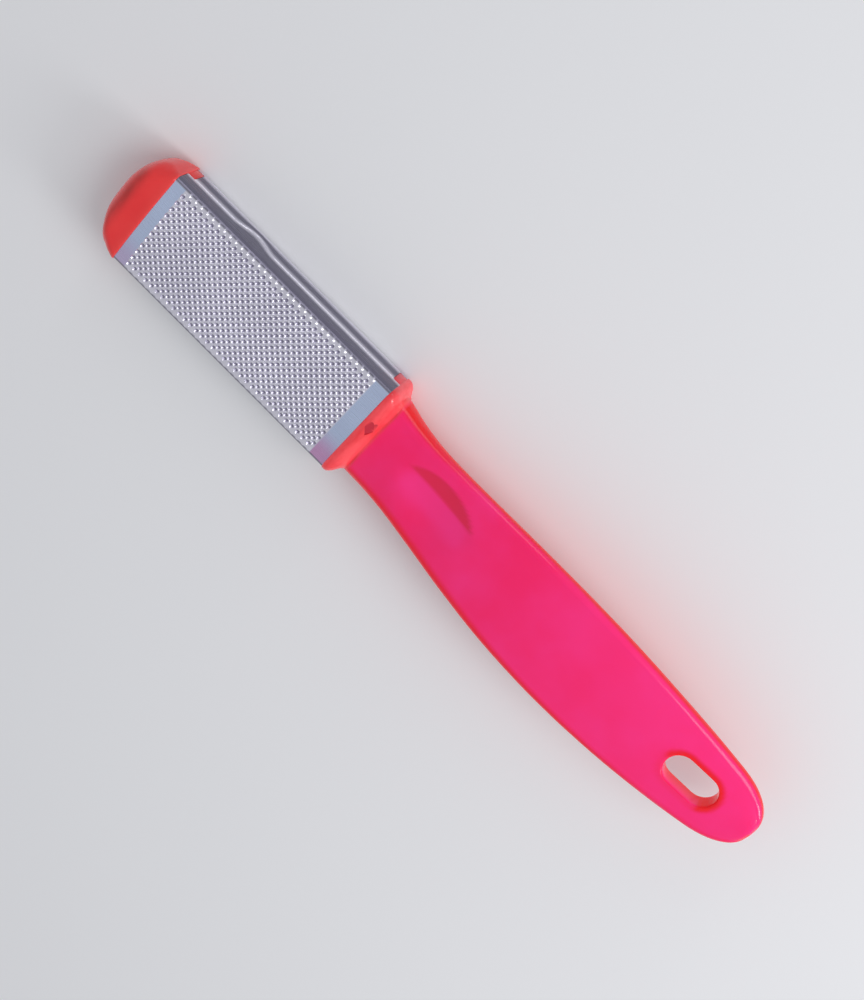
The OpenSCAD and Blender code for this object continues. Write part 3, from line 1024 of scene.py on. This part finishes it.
    def emboss(self, piece: bpy.types.Object) -> None:
        """Raises the teeth on the outer face and paints the field, painted shade in the pits, a painted dark
        reflection on the walls and a painted pink reflection at the margins' low ends.

        Args:
            piece: The plate, with its thickness.
        """
        co = Bench.read(piece, "co")
        on_skin = np.abs(co[:, 2] - self.surface(co[:, 1])) < self.skin_off
        outer = on_skin & (co[:, 2] > HEAD.bend_z + self.dome_rows)
        height, hole = self.relief(co[:, 0], co[:, 1])
        lean = np.clip(co[:, 1] / HEAD.crown, -1, 1)
        beyond = np.clip((np.abs(co[:, 1]) - HEAD.bend_y) / HEAD.bend, 0, 1) * np.sign(co[:, 1])
        normal_y = np.where(beyond == 0, lean, beyond)
        height = np.where(outer, height, 0)
        co[:, 1] += height * normal_y
        co[:, 2] += height * np.sqrt(1 - normal_y**2)
        Bench.place(piece, co)
        x, y, z = co.T
        half = (self.teeth_along / 2 + self.field_more) * self.pitch
        in_field = rising(half - np.abs(x - HEAD.front / 2 + self.pitch / 4), *self.field_fade)
        on_wall = rising(np.abs(y), *(HEAD.half_width - away for away in self.wall_from_side))
        Bench.paint(piece, "field", np.maximum(np.where(outer, in_field, 0), on_wall))
        # Painted shade: the pits are darkened where the holes would be
        Bench.paint(piece, "pit", np.where(outer, hole, 0))
        # Painted reflection: a pink tint at the margins' low ends, stronger by the collar
        low_end = rising(-y, *self.pink_reflection_fade) * (1 - in_field) * outer
        by_cap, by_collar = self.pink_reflection_ends
        Bench.paint(piece, "pink_reflection", low_end * np.where(x > HEAD.front / 2, by_collar, by_cap))
        # Painted dark reflection on the walls, up to the bend and clear of the rolled edge
        tab, notch = self.seam(x)
        off_edge = rising(z - np.where(y > 0, tab, notch), *self.wall_off_edge)
        high = HEAD.bend_z + (self.wall_top_turned if self.turned else self.wall_top)
        Bench.paint(piece, "wall", on_wall * (1 - rising(z, high, high + self.wall_fade)) * off_edge)

    def thin_inside(self, piece: bpy.types.Object) -> None:
        """Dissolves the grid on the sheet's hidden inner face.

        Args:
            piece: The plate, with its thickness.
        """
        top = HEAD.half_height - HEAD.sheet + 0.02
        Bench.open_faces(piece, lambda c, n: n.z < -0.9 and HEAD.bend_z < c.z < top)
        bpy.ops.mesh.dissolve_limited(angle_limit=math.radians(0.5))
        Bench.close()

    def build(self, finish: bpy.types.Material) -> bpy.types.Object:
        """Builds the plate, turned over where it is the lower one.

        Args:
            finish: The steel.

        Returns:
            The finished plate.
        """
        piece = self.skin()
        self.cut_back(piece)
        Bench.open_all(piece)
        bpy.ops.mesh.normals_make_consistent(inside=False)
        Bench.close()
        middle = piece.data.polygons[len(piece.data.polygons) // 2]
        inwards = -1.0 if middle.normal.z > 0 else 1.0
        Bench.apply(piece, "SOLIDIFY", thickness=HEAD.sheet, offset=inwards, use_even_offset=True)
        if inwards > 0:
            Bench.open_all(piece)
            bpy.ops.mesh.flip_normals()
            Bench.close()
        self.emboss(piece)
        self.thin_inside(piece)
        turn = math.pi if self.turned else 0
        Bench.fix(piece, rotation_euler=(turn, 0, 0), location=(0, 0, HEAD.middle))
        piece.data.materials.append(finish)
        Bench.settle(piece, self.node, "rasp_steel", 55)
        return piece


def side_tongue(side: int, x0: float, x1: float) -> bpy.types.Object:
    """Adds the slab that fills a wall's cut-back from x0 to x1, flush with the wall.

    Args:
        side: 1 for the lower half at plus y, -1 for the upper half at minus y.
        x0: Where it starts.
        x1: Where it ends.

    Returns:
        A closed slab with rounded edges.
    """
    inner = HEAD.half_width - HEAD.sheet - 0.4
    low, high = -HEAD.bend_z + HEAD.gap, HEAD.seam_up - HEAD.gap
    centre = ((x0 + x1) / 2, side * (HEAD.half_width + inner) / 2, HEAD.middle + side * (low + high) / 2)
    Bench.clear()
    bpy.ops.mesh.primitive_cube_add(size=1, location=centre)
    slab = Bench.added("tongue")
    Bench.fix(slab, scale=(x1 - x0, HEAD.half_width - inner, high - low))
    Bench.apply(slab, "BEVEL", width=0.12, segments=2)
    return slab


@dataclass
class NoseCap:
    """The D-shaped cap on the head's nose, with a lip over the plates' ends."""

    round_wide: float = 9.4
    round_high: float = 6.5
    corner: float = 2.2
    edge: float = 0.45
    power: float = 2.2
    soften: float = 3.4
    soften_over: float = 4.0
    core_reach: float = 1.2
    streak_from_nose: float = 3.4
    streak_width: float = 1.5
    streak_half: float = 12.5
    streak_fade: float = 3.0
    streak_rise: float = 5.0
    streak_on_tongue: float = 0.6
    lip_fade: Span = (2.2, 0.3)
    steps: int = 22
    lip_steps: int = 4

    def share(self, x: float, length: float) -> float:
        """Gives the share of the full section that is left where the nose rounds off.

        Args:
            x: Where it is read.
            length: How far the rounding reaches from the nose.

        Returns:
            The share, up to 1.
        """
        t = max(HEAD.nose + length - x, 0) / length
        return max(1 - t**self.power, 0.0004) ** (1 / self.power)

    def stations(self) -> list[Station]:
        """Lists the cap's sections from the nose to the lip.

        Returns:
            The sections in order.
        """
        out = []
        for k in range(self.steps, -1, -1):
            x = HEAD.nose + self.round_wide * (1 - math.sin(math.radians(90 * k / self.steps)))
            corner = self.corner + self.soften * min((HEAD.front - self.edge - x) / self.soften_over, 1)
            out.append(HEAD.rim(x, 0, corner, self.share(x, self.round_wide), self.share(x, self.round_high)))
        for k in range(self.lip_steps + 1):
            away = self.edge * (1 - k / self.lip_steps)
            out.append(HEAD.rim(HEAD.front - away, round_in(away, self.edge), self.corner))
        return out

    def paint(self, piece: bpy.types.Object) -> None:
        """Paints the darker streak over the nose, painted shade where the dome turns down, darker tongues and
        the paler lip.

        Args:
            piece: The cap.
        """
        x, y, z = Bench.read(piece, "co").T
        # Painted shade: a darker streak where the nose's dome turns down; the tongues are darkened too
        streak = bell(x - HEAD.nose, self.streak_from_nose, self.streak_width)
        streak *= rising(z, HEAD.middle, HEAD.middle + self.streak_rise)
        streak *= rising(self.streak_half - np.abs(y + 1), 0, self.streak_fade)
        on_tongue = (x > HEAD.front + 0.2) * self.streak_on_tongue
        Bench.paint(piece, "streak", np.maximum(streak, on_tongue))
        Bench.paint(piece, "lip", rising(x, *(HEAD.front - away for away in self.lip_fade)))

    def build(self, finish: bpy.types.Material) -> bpy.types.Object:
        """Builds the cap with its pocket for the plates and its two tongues.

        Args:
            finish: The coral plastic.

        Returns:
            The finished cap.
        """
        piece = moulding("nose_cap_moulding", self.stations(), 26, 8)
        back = HEAD.front - HEAD.tuck
        pocket = [HEAD.inset(x, -HEAD.gap) for x in (back - HEAD.gap, HEAD.front + 1)]
        Bench.combine(piece, moulding("pocket", pocket), Merge.CUT)
        core = [HEAD.inset(x, HEAD.sheet + HEAD.gap) for x in (back - self.core_reach, HEAD.front - 0.2)]
        Bench.combine(piece, moulding("core", core), Merge.ADD)
        for side in (1, -1):
            Bench.combine(piece, side_tongue(side, back - 1, HEAD.front + HEAD.tongue_cap), Merge.ADD)
        self.paint(piece)
        piece.data.materials.append(finish)
        Bench.settle(piece, "nose_cap", "coral_plastic")
        return piece


@dataclass(frozen=True)
class HandlePaint:
    """Where the handle's paints fade in, in millimetres, and how strong they are.

    The spans named turn are read on how far a normal points up or sideways.
    """

    grip: Span = (-0.1, 0.5)
    far: Span = (55, 105)
    far_more: float = 0.2
    upper_turn: Span = (0.05, 0.55)
    lower_turn: Span = (0.55, 0.93)
    neck: Span = (6, 34)
    neck_turn: Span = (0.06, 0.4)
    rim_width: float = 3.3
    rim_less: float = 1.1
    rim_narrows: Span = (20, 110)
    rim_share: Span = (0.45, 1.15)
    rim_strength: float = 0.85
    rim_ends: Span = (95, 125)
    slot_rim: Span = (0.9, 2.4)
    slot_upper: Span = (-1.5, 2.5)
    slot_lower: float = 0.25
    slot_tail: Span = (1.5, 3.2)
    slot_wall: Span = (0.9, 2.6)
    slot_lean: float = 0.09
    top_turn: float = 0.3
    groove_place: float = 0.15
    groove_width: float = 0.35
    groove_strength: float = 0.55
    mark_half: Span = (1.7, 3.6)
    mark_sunk: float = 0.06
    mark_strength: float = 0.9
    carrier_strength: float = 0.6
    crescent_edge: float = 1.04
    crescent_fade: float = 0.1
    crescent_low: Span = (3.5, 4.5)
    crescent_strength: float = 0.8
    dish_fade: float = 0.3
    dish_below: Span = (-5, 0)
    dish_above: float = 4.4
    dish_above_fade: float = 0.8
    dish_highlight_strength: float = 0.9
    pale: Span = (40, 110)
    pale_strength: float = 0.5


@dataclass
class Handle:
    """The moulding that is grip, collar and carrier in one.

    The curves give shares of the grip's length with a value at each: widths between
    neck and widest, arches and tails between two heights, and thicks of the thickness.
    """

    length: float = 139.62
    widest: float = 15.695
    neck: float = 12.3
    thick: float = 6.6
    arch: float = 20.29
    tail: float = 17.6
    tail_round: float = 15.4
    tail_power: float = 2.6
    tail_edge: float = 2.2
    tail_steps: int = 26
    grip_step: float = 1.25
    grip_root: float = 3.0
    collar_corner: float = 2.6
    collar_back: float = 3.2
    collar_side: float = 2.7
    collar_fall: float = 0.9
    collar_lines: tuple = (1.1, 1.5)
    collar_draw: Span = (0.19, 7.5)
    collar_soften: float = 1.4
    collar_fall_from: float = 0.35
    rim_edge: float = 0.45
    mark_x: float = 2.65
    mark_y: float = 3.1
    mark_size: float = 1.5
    mark_deep: float = 0.42
    mark_turn: float = 46.0
    mark_lean: float = 30.0
    mark_stretch: tuple = (1.35, 1.9, 1)
    mark_tall: float = 2.0
    mark_off: Span = (0.5, 0.87)
    dish_x: float = 28.5
    dish_len: float = 27.0
    dish_w: float = 17.0
    dish_deep: float = 1.4
    dish_melt: float = 0.012
    dish_wider: float = 0.35
    dish_softer: float = 1.1
    slot_len: float = 16.4
    slot_w: float = 9.0
    slot_from_tail: float = 21.32
    slot_bevel: float = 0.9
    slot_steps: int = 16
    slot_past: float = 2.5
    side_round: float = 0.64
    crown: float = 0.05
    neck_crown: float = 0.14
    paints: HandlePaint = HandlePaint()
    widths: tuple = (
        (0, 0.25), (0.05, 0.04), (0.105, 0), (0.176, 0.19), (0.284, 0.58), (0.391, 0.88), (0.5, 1),
        (0.605, 0.93), (0.712, 0.66), (0.819, 0.23), (0.92, -0.34), (1, -0.85),
    )
    arches: tuple = (
        (0, -0.02), (0.05, 0.16), (0.105, 0.33), (0.176, 0.5), (0.284, 0.72), (0.391, 0.88),
        (0.5, 0.97), (0.605, 1),
    )
    tails: tuple = ((0.605, 0), (0.712, 0.06), (0.819, 0.34), (0.92, 0.72), (1, 1))
    thicks: tuple = (
        (0, 1.7), (0.05, 1.42), (0.105, 1.2), (0.176, 1.09), (0.284, 1.03), (0.5, 1), (0.75, 0.96), (1, 0.88),
    )

    @property
    def end(self) -> float:
        """Place of the tail's end."""
        return HEAD.collar + self.length

    @property
    def slot_x(self) -> float:
        """Place of the slot's middle."""
        return self.end - self.slot_from_tail

    @property
    def slot_reach(self) -> float:
        """How far the middles of the slot's round ends are from its own middle."""
        return (self.slot_len - self.slot_w) / 2

    def share(self, x: float) -> float:
        """Returns the share of the grip's length at x."""
        return (x - HEAD.collar) / self.length

    def middle(self, x: float) -> float:
        """Gives the height of the grip's middle.

        Args:
            x: Where it is read.

        Returns:
            The height over the floor.
        """
        at = self.share(x)
        if at < self.arches[-1][0]:
            return HEAD.middle + (self.arch - HEAD.middle) * smooth_curve(self.arches, at)
        return self.arch + (self.tail - self.arch) * smooth_curve(self.tails, at)

    def half_thick(self, x: float) -> float:
        """Returns half the grip's thickness at x."""
        t = max(x - self.end + self.tail_edge, 0) / self.tail_edge
        return self.thick / 2 * smooth_curve(self.thicks, self.share(x)) * math.sqrt(max(1 - t * t, 0.0))

    def half_width(self, x: float) -> float:
        """Gives half the grip's width.

        Args:
            x: Where it is read.

        Returns:
            Half the width there.
        """
        t = max(x - self.end + self.tail_round, 0) / self.tail_round
        narrow = (1 - t**self.tail_power) ** (1 / self.tail_power)
        return (self.neck + (self.widest - self.neck) * smooth_curve(self.widths, self.share(x))) * narrow

    def station(self, x: float) -> Station:
        """Gives the grip's section: round at its sides and lightly crowned.

        Args:
            x: Where it is taken.

        Returns:
            The section.
        """
        a, b = self.half_width(x), self.half_thick(x)
        r = min(self.side_round * b, a * 0.8)
        drop = b - r - self.crown * b - self.neck_crown * max(b - 3, 0)
        return Station(x, self.middle(x), a, b, r, drop)

    def tilt(self, x: float) -> float:
        """Returns the slope of the grip's middle, as an angle."""
        return math.atan((self.middle(x + 1) - self.middle(x - 1)) / 2)

    def grip(self) -> bpy.types.Object:
        """Wraps the grip and presses the thumb dish into its top.

        Returns:
            The grip, without its slot.
        """
        body = self.end - self.tail_round
        turns = [math.radians(88.6 * k / self.tail_steps) for k in range(self.tail_steps + 1)]
        xs = list(np.arange(HEAD.collar - self.grip_root, body - 0.6, self.grip_step))
        xs += [body + self.tail_round * math.sin(turn) for turn in turns]
        stations = [replace(self.station(max(x, HEAD.collar)), x=x) for x in xs]
        piece = moulding("handle_moulding", stations, 36, 9)
        co = Bench.read(piece, "co")
        top = Bench.read(piece, "normal")[:, 2] > 0.5
        co[:, 2] -= np.where(top, self.dish_depth(co[:, 0], co[:, 1]), 0)
        Bench.place(piece, co)
        return piece

    def dish_depth(self, x: np.ndarray, y: np.ndarray) -> np.ndarray:
        """Gives the depth of the thumb dish, which is crisp above and melts away below.

        Args:
            x: Where it is read, along the grip.
            y: Where it is read, across it.

        Returns:
            The depth there.
        """
        half = self.dish_w / 2 * (1 + self.dish_wider * rising(-y, 0, 5))
        bowl = 1 - ((x - self.dish_x) / (self.dish_len / 2)) ** 2 - (y / half) ** 2
        bowl = (bowl + np.sqrt(bowl**2 + self.dish_melt)) / 2
        return self.dish_deep * bowl ** (1 + self.dish_softer * rising(-y, -3, 4))

    def collar_station(self, x: float) -> Station:
        """Gives the collar's section: its sides draw in before its faces fall.

        Args:
            x: Where it is taken.

        Returns:
            The section.
        """
        depth = round_in(x, self.rim_edge) + round_in(HEAD.collar + 0.02 - x, self.collar_back)
        share = x / HEAD.collar
        start, pull = self.collar_draw
        drawn = min(self.collar_side, pull * max(share - start, 0) ** 2)
        whole = HEAD.half_width + HEAD.rim_out
        wide = (whole - max(depth, drawn)) / (whole - depth)
        s = HEAD.rim(x, depth, self.collar_corner + self.collar_soften * share**2, wide)
        fall = self.collar_fall * max(share - self.collar_fall_from, 0)
        return replace(s, middle=s.middle - fall, half_height=s.half_height - fall)

    def collar(self) -> bpy.types.Object:
        """Wraps the collar: a crisp lip in front and a round shoulder behind.

        Returns:
            The solid collar.
        """
        front = [self.rim_edge * k / 4 for k in range(4)]
        back = [HEAD.collar - self.collar_back * (1 - math.sin(math.radians(90 * k / 12))) for k in range(13)]
        xs = [*front, *self.collar_lines, *back]
        return moulding("collar", [self.collar_station(x) for x in xs], 26, 9)

    def slot_cutter(self) -> bpy.types.Object:
        """Wraps a stadium into the slot's cutter, flared at both faces for the rounded rim.

        Returns:
            The cutter.
        """
        outline = []
        for end in (1, -1):
            for k in range(self.slot_steps + 1):
                turn = math.radians(end * 90 - 180 * k / self.slot_steps)
                outline.append((end * self.slot_reach, math.cos(turn), math.sin(turn)))
        t = self.half_thick(self.slot_x)
        levels = [(-t - self.slot_past, self.slot_bevel + self.slot_past)]
        for turn in (math.radians(degrees) for degrees in range(0, 91, 15)):
            grow = self.slot_bevel * (1 - math.sin(turn))
            levels.append((-t + self.slot_bevel * (1 - math.cos(turn)), grow))
        levels += [(-z, grow) for z, grow in reversed(levels)]
        rings = np.array([
            [(c + (self.slot_w / 2 + grow) * cx, (self.slot_w / 2 + grow) * sy, z) for c, cx, sy in outline]
            for z, grow in levels
        ])
        around = rings.shape[1]
        piece = wrapped("slot_cutter", len(levels) - 1, around, lambda i, j: rings[i, j % around])
        Bench.seal(piece)
        place = (self.slot_x, 0, self.middle(self.slot_x))
        Bench.fix(piece, rotation_euler=(0, -self.tilt(self.slot_x), 0), location=place)
        return piece

    def mark_cutter(self) -> bpy.types.Object:
        """Builds the small heart that is sunk in the collar's top, from a block and two lobes.

        Returns:
            The cutter, which leans with the collar's slope.
        """
        s = self.collar_station(self.mark_x)
        half, tall = self.mark_size / 2, self.mark_tall
        back, up = self.mark_off
        place = (self.mark_x + back, self.mark_y, s.middle + s.half_height - self.mark_deep + up)
        Bench.clear()
        bpy.ops.mesh.primitive_cube_add(size=self.mark_size)
        heart = Bench.added("mark_cutter")
        Bench.fix(heart, scale=(1, 1, tall / self.mark_size))
        for x, y in ((0, half), (half, 0)):
            Bench.clear()
            bpy.ops.mesh.primitive_cylinder_add(vertices=40, radius=half, depth=tall, location=(x, y, 0))
            Bench.combine(heart, Bench.added("lobe"), Merge.ADD)
        Bench.fix(heart, rotation_euler=(0, 0, math.radians(self.mark_turn)))
        Bench.fix(heart, scale=self.mark_stretch)
        Bench.fix(heart, rotation_euler=(0, math.radians(self.mark_lean), 0), location=place)
        return heart

    def carrier(self) -> bpy.types.Object:
        """Wraps the block that fills the head between the plates."""
        xs = (HEAD.front - HEAD.tuck, HEAD.tuck + 1)
        return moulding("carrier", [HEAD.inset(x, HEAD.sheet + HEAD.gap) for x in xs])

    def rim_red(self, x: np.ndarray, y: np.ndarray, up: np.ndarray) -> np.ndarray:
        """Gives how red the grip's sides and outer rim are: painted glow at the plastic's edges.

        Args:
            x: The vertices' places along the grip.
            y: Their places across it.
            up: How far their normals point up.

        Returns:
            A share from 0 to 1 for each.
        """
        p = self.paints
        far = p.far_more * rising(x, *p.far)
        low, high = (np.where(y > 0, p.upper_turn[k] + far, p.lower_turn[k]) for k in (0, 1))
        red = 1 - rising((up - low) / (high - low), 0, 1)
        near_neck = 1 - rising(x - HEAD.collar, *p.neck)
        red = np.maximum(red, near_neck * rising(1 - np.abs(up), *p.neck_turn))
        half = np.array([self.half_width(min(max(v, HEAD.collar), self.end - 0.01)) for v in x])
        rim = p.rim_width - p.rim_less * rising(x, *p.rim_narrows)
        near_rim = (1 - rising((half + y) / rim, *p.rim_share)) * p.rim_strength
        return np.maximum(red, near_rim * (1 - 0.5 * rising(x, *p.rim_ends)))

    def slot_red(self, co: np.ndarray, up: np.ndarray, red: np.ndarray) -> np.ndarray:
        """Adds the red of the slot's rounded rim and of its walls: painted glow at these edges.

        Args:
            co: The vertices' places.
            up: How far their normals point up.
            red: How red they are without the slot.

        Returns:
            How red they are with it.
        """
        p = self.paints
        x, y, z = co.T
        along = x - self.slot_x
        from_slot = np.hypot(np.maximum(np.abs(along) - self.slot_reach, 0), y) - self.slot_w / 2
        tail_end = rising(along - self.slot_reach, *p.slot_tail)
        upper = np.maximum(rising(y, *p.slot_upper), p.slot_lower + (1 - p.slot_lower) * tail_end)
        round_rim = (1 - rising(from_slot, *p.slot_rim)) * upper
        slot_floor = self.middle(self.slot_x) - self.half_thick(self.slot_x) - along * p.slot_lean
        inside = (from_slot < 0.25) & (np.abs(up) < 0.6) & (np.abs(along) < 12) & (np.abs(y) < 6)
        low_wall = np.maximum(1 - rising(z - slot_floor, *p.slot_wall), tail_end)
        return np.where(inside, low_wall, np.maximum(red, round_rim))

    def darkest(self, co: np.ndarray, up: np.ndarray) -> np.ndarray:
        """Gives the darkest places, painted shade: in the groove behind the collar, in the sunk heart and on
        the carrier between the plates.

        Args:
            co: The vertices' places.
            up: How far their normals point up.

        Returns:
            A share from 0 to 1 for each.
        """
        p = self.paints
        x, y, z = co.T
        recess_shade = bell(x, HEAD.collar + p.groove_place, p.groove_width) * p.groove_strength
        half_x, half_y = p.mark_half
        in_mark = (np.abs(x - self.mark_x) < half_x) & (np.abs(y - self.mark_y) < half_y) & (up > p.top_turn)
        stations = [self.collar_station(k * HEAD.collar / 40) for k in range(41)]
        whole = np.interp(x, [s.x for s in stations], [s.middle + s.half_height for s in stations])
        sunk = z < whole - y * y / (2 * HEAD.crown) - p.mark_sunk
        recess_shade = np.maximum(recess_shade, in_mark * sunk * p.mark_strength)
        return np.maximum(recess_shade, (x < -0.2) * p.carrier_strength)

    def paint(self, piece: bpy.types.Object) -> None:
        """Paints where the plastic turns red with painted glow, coral, darker with painted shade, or pale:
        paler towards the tail and a painted highlight in the dish.

        Args:
            piece: The whole moulding.
        """
        co, up = Bench.read(piece, "co"), Bench.read(piece, "normal")[:, 2]
        p = self.paints
        x, y, _ = co.T
        on_grip = rising(x - HEAD.collar, *p.grip)
        # Painted glow: red along the grip's sides, outer rim, slot rim and slot walls
        Bench.paint(piece, "edge", self.slot_red(co, up, self.rim_red(x, y, up)) * on_grip)
        Bench.paint(piece, "collar", 1 - on_grip)
        # Painted shade: darker in the groove behind the collar, in the sunk heart and on the carrier between
        # the plates
        Bench.paint(piece, "recess_shade", self.darkest(co, up))
        from_dish = np.hypot((x - self.dish_x) / (self.dish_len / 2), y / (self.dish_w / 2))
        # Painted shade: a crescent on the dish's steep upper wall, which faces away from the light
        crescent_shade = rising(p.crescent_edge - from_dish, 0, p.crescent_fade) * rising(y, *p.crescent_low)
        Bench.paint(piece, "dish", crescent_shade * (up > p.top_turn) * p.crescent_strength)
        # Painted highlight: a paler band on the dish's lower slope, below the crescent
        dish_highlight = rising(1 - from_dish, 0, p.dish_fade) * rising(y, *p.dish_below)
        dish_highlight *= rising(p.dish_above - y, 0, p.dish_above_fade) * p.dish_highlight_strength
        Bench.paint(piece, "pale", np.maximum(rising(x, *p.pale) * p.pale_strength, dish_highlight))

    def build(self, finish: bpy.types.Material) -> bpy.types.Object:
        """Builds the whole moulding and dresses it.

        Args:
            finish: The glowing plastic.

        Returns:
            The finished handle.
        """
        piece = self.grip()
        Bench.combine(piece, self.slot_cutter(), Merge.CUT)
        collar = self.collar()
        pocket = [HEAD.inset(x, -HEAD.gap) for x in (-1.0, HEAD.tuck + HEAD.gap)]
        Bench.combine(collar, moulding("pocket", pocket), Merge.CUT)
        Bench.combine(collar, self.carrier(), Merge.ADD)
        Bench.combine(collar, self.mark_cutter(), Merge.CUT)
        for side in (1, -1):
            Bench.combine(collar, side_tongue(side, -HEAD.tongue_collar, HEAD.tuck), Merge.ADD)
        Bench.combine(piece, collar, Merge.ADD)
        self.paint(piece)
        piece.data.materials.append(finish)
        Bench.settle(piece, "handle", "pink_plastic")
        return piece


# Stage


@dataclass(frozen=True)
class PhotoCamera:
    """The photograph's camera, fitted to the head and the handle's outline."""

    lens: float = 68.98
    sensor: float = 36.0
    place: tuple = (0.00100, 0.21652, 0.45650)
    right: tuple = (0.99998, -0.00160, -0.00557)
    up: tuple = (-0.00101, 0.89879, -0.43837)
    back: tuple = (0.00570, 0.43837, 0.89878)
    roll: float = 45.0

    def make(self) -> bpy.types.Object:
        """Adds the camera and makes it the scene's own.

        Returns:
            The camera's object.
        """
        turn = math.radians(self.roll)
        right, up, back = Vector(self.right), Vector(self.up), Vector(self.back)
        columns = (
            right * math.cos(turn) + up * math.sin(turn),
            up * math.cos(turn) - right * math.sin(turn),
            back,
        )
        pose = Matrix(columns).transposed().to_4x4()
        pose.translation = Vector(self.place)
        bpy.ops.object.camera_add()
        camera = bpy.context.object
        camera.name = "photo_camera"
        camera.matrix_world = pose
        camera.data.lens = self.lens
        camera.data.sensor_width = self.sensor
        camera.data.clip_start = 0.01
        bpy.context.scene.camera = camera
        return camera


@dataclass(frozen=True)
class SoftBox:
    """One soft lamp that looks at the rasp."""

    name: str
    place: tuple
    size: float
    power: float
    target: tuple = (0.0, 0.0, 0.01)
    long_side: float = 0.0

    def make(self) -> bpy.types.Object:
        """Adds the lamp.

        Returns:
            The lamp's object.
        """
        bpy.ops.object.light_add(type="AREA", location=self.place)
        lamp = bpy.context.object
        lamp.name = self.name
        aim = Vector(self.target) - Vector(self.place)
        lamp.rotation_euler = aim.to_track_quat("-Z", "Y").to_euler()
        lamp.data.energy = self.power
        lamp.data.size = self.size
        if self.long_side:
            lamp.data.shape = "RECTANGLE"
            lamp.data.size_y = self.long_side
        return lamp


@dataclass(frozen=True)
class Studio:
    """A plain pale floor, soft lamps and an even sky."""

    floor: Colour = shade(234, 234, 236)
    floor_grain: Colour = shade(222, 222, 226)
    floor_rough: float = 0.75
    floor_size: float = 6.0
    floor_drop: float = 0.0001
    sky: Colour = (0.50, 0.51, 0.53, 1.0)
    lamps: tuple = (
        SoftBox("key_softbox", (0.54, 0.36, 0.66), 0.5, 2.7),
        SoftBox("tail_lamp", (0.80, 0.19, 0.37), 0.22, 2.2, long_side=0.3),
        SoftBox("side_card", (-0.21, 0.88, 0.38), 0.24, 0.5, long_side=0.42),
    )

    def make(self) -> None:
        """Adds the floor, the lamps and the world."""
        Bench.clear()
        bpy.ops.mesh.primitive_plane_add(size=self.floor_size, location=(0, 0, -self.floor_drop))
        floor = Bench.added("pale_floor")
        n = Nodes("pale_floor")
        grain = n.ranged(n.noise(n.place(), scale=8.0, detail=2.0), (0.3, 0.7), (0.0, 0.06))
        n.set(Base_Color=n.mix(grain, self.floor, self.floor_grain), Roughness=self.floor_rough)
        floor.data.materials.append(n.material)
        for lamp in self.lamps:
            lamp.make()
        world = bpy.data.worlds.new("even_sky")
        world.use_nodes = True
        world.node_tree.nodes["Background"].inputs["Color"].default_value = self.sky
        bpy.context.scene.world = world
        bpy.context.scene.view_settings.view_transform = "Standard"


def main() -> None:
    """Builds the camera, the rasp piece by piece, and the studio."""
    logging.basicConfig(level=logging.INFO, format="%(name)s %(message)s")
    PhotoCamera().make()
    steel = RolledSteel().make()
    fine = RaspPlate("fine_plate_steel", "fine_rasp_plate", pitch=2.06, row=2.2, rise=0.4)
    coarse = RaspPlate("coarse_plate_steel", "coarse_rasp_plate", pitch=3.4, row=3.7, rise=0.55, turned=True)
    fine.build(steel)
    coarse.build(steel)
    NoseCap().build(CoralPlastic().make())
    Handle().build(GlowingPlastic().make())
    Studio().make()


if __name__ == "__main__":
    main()
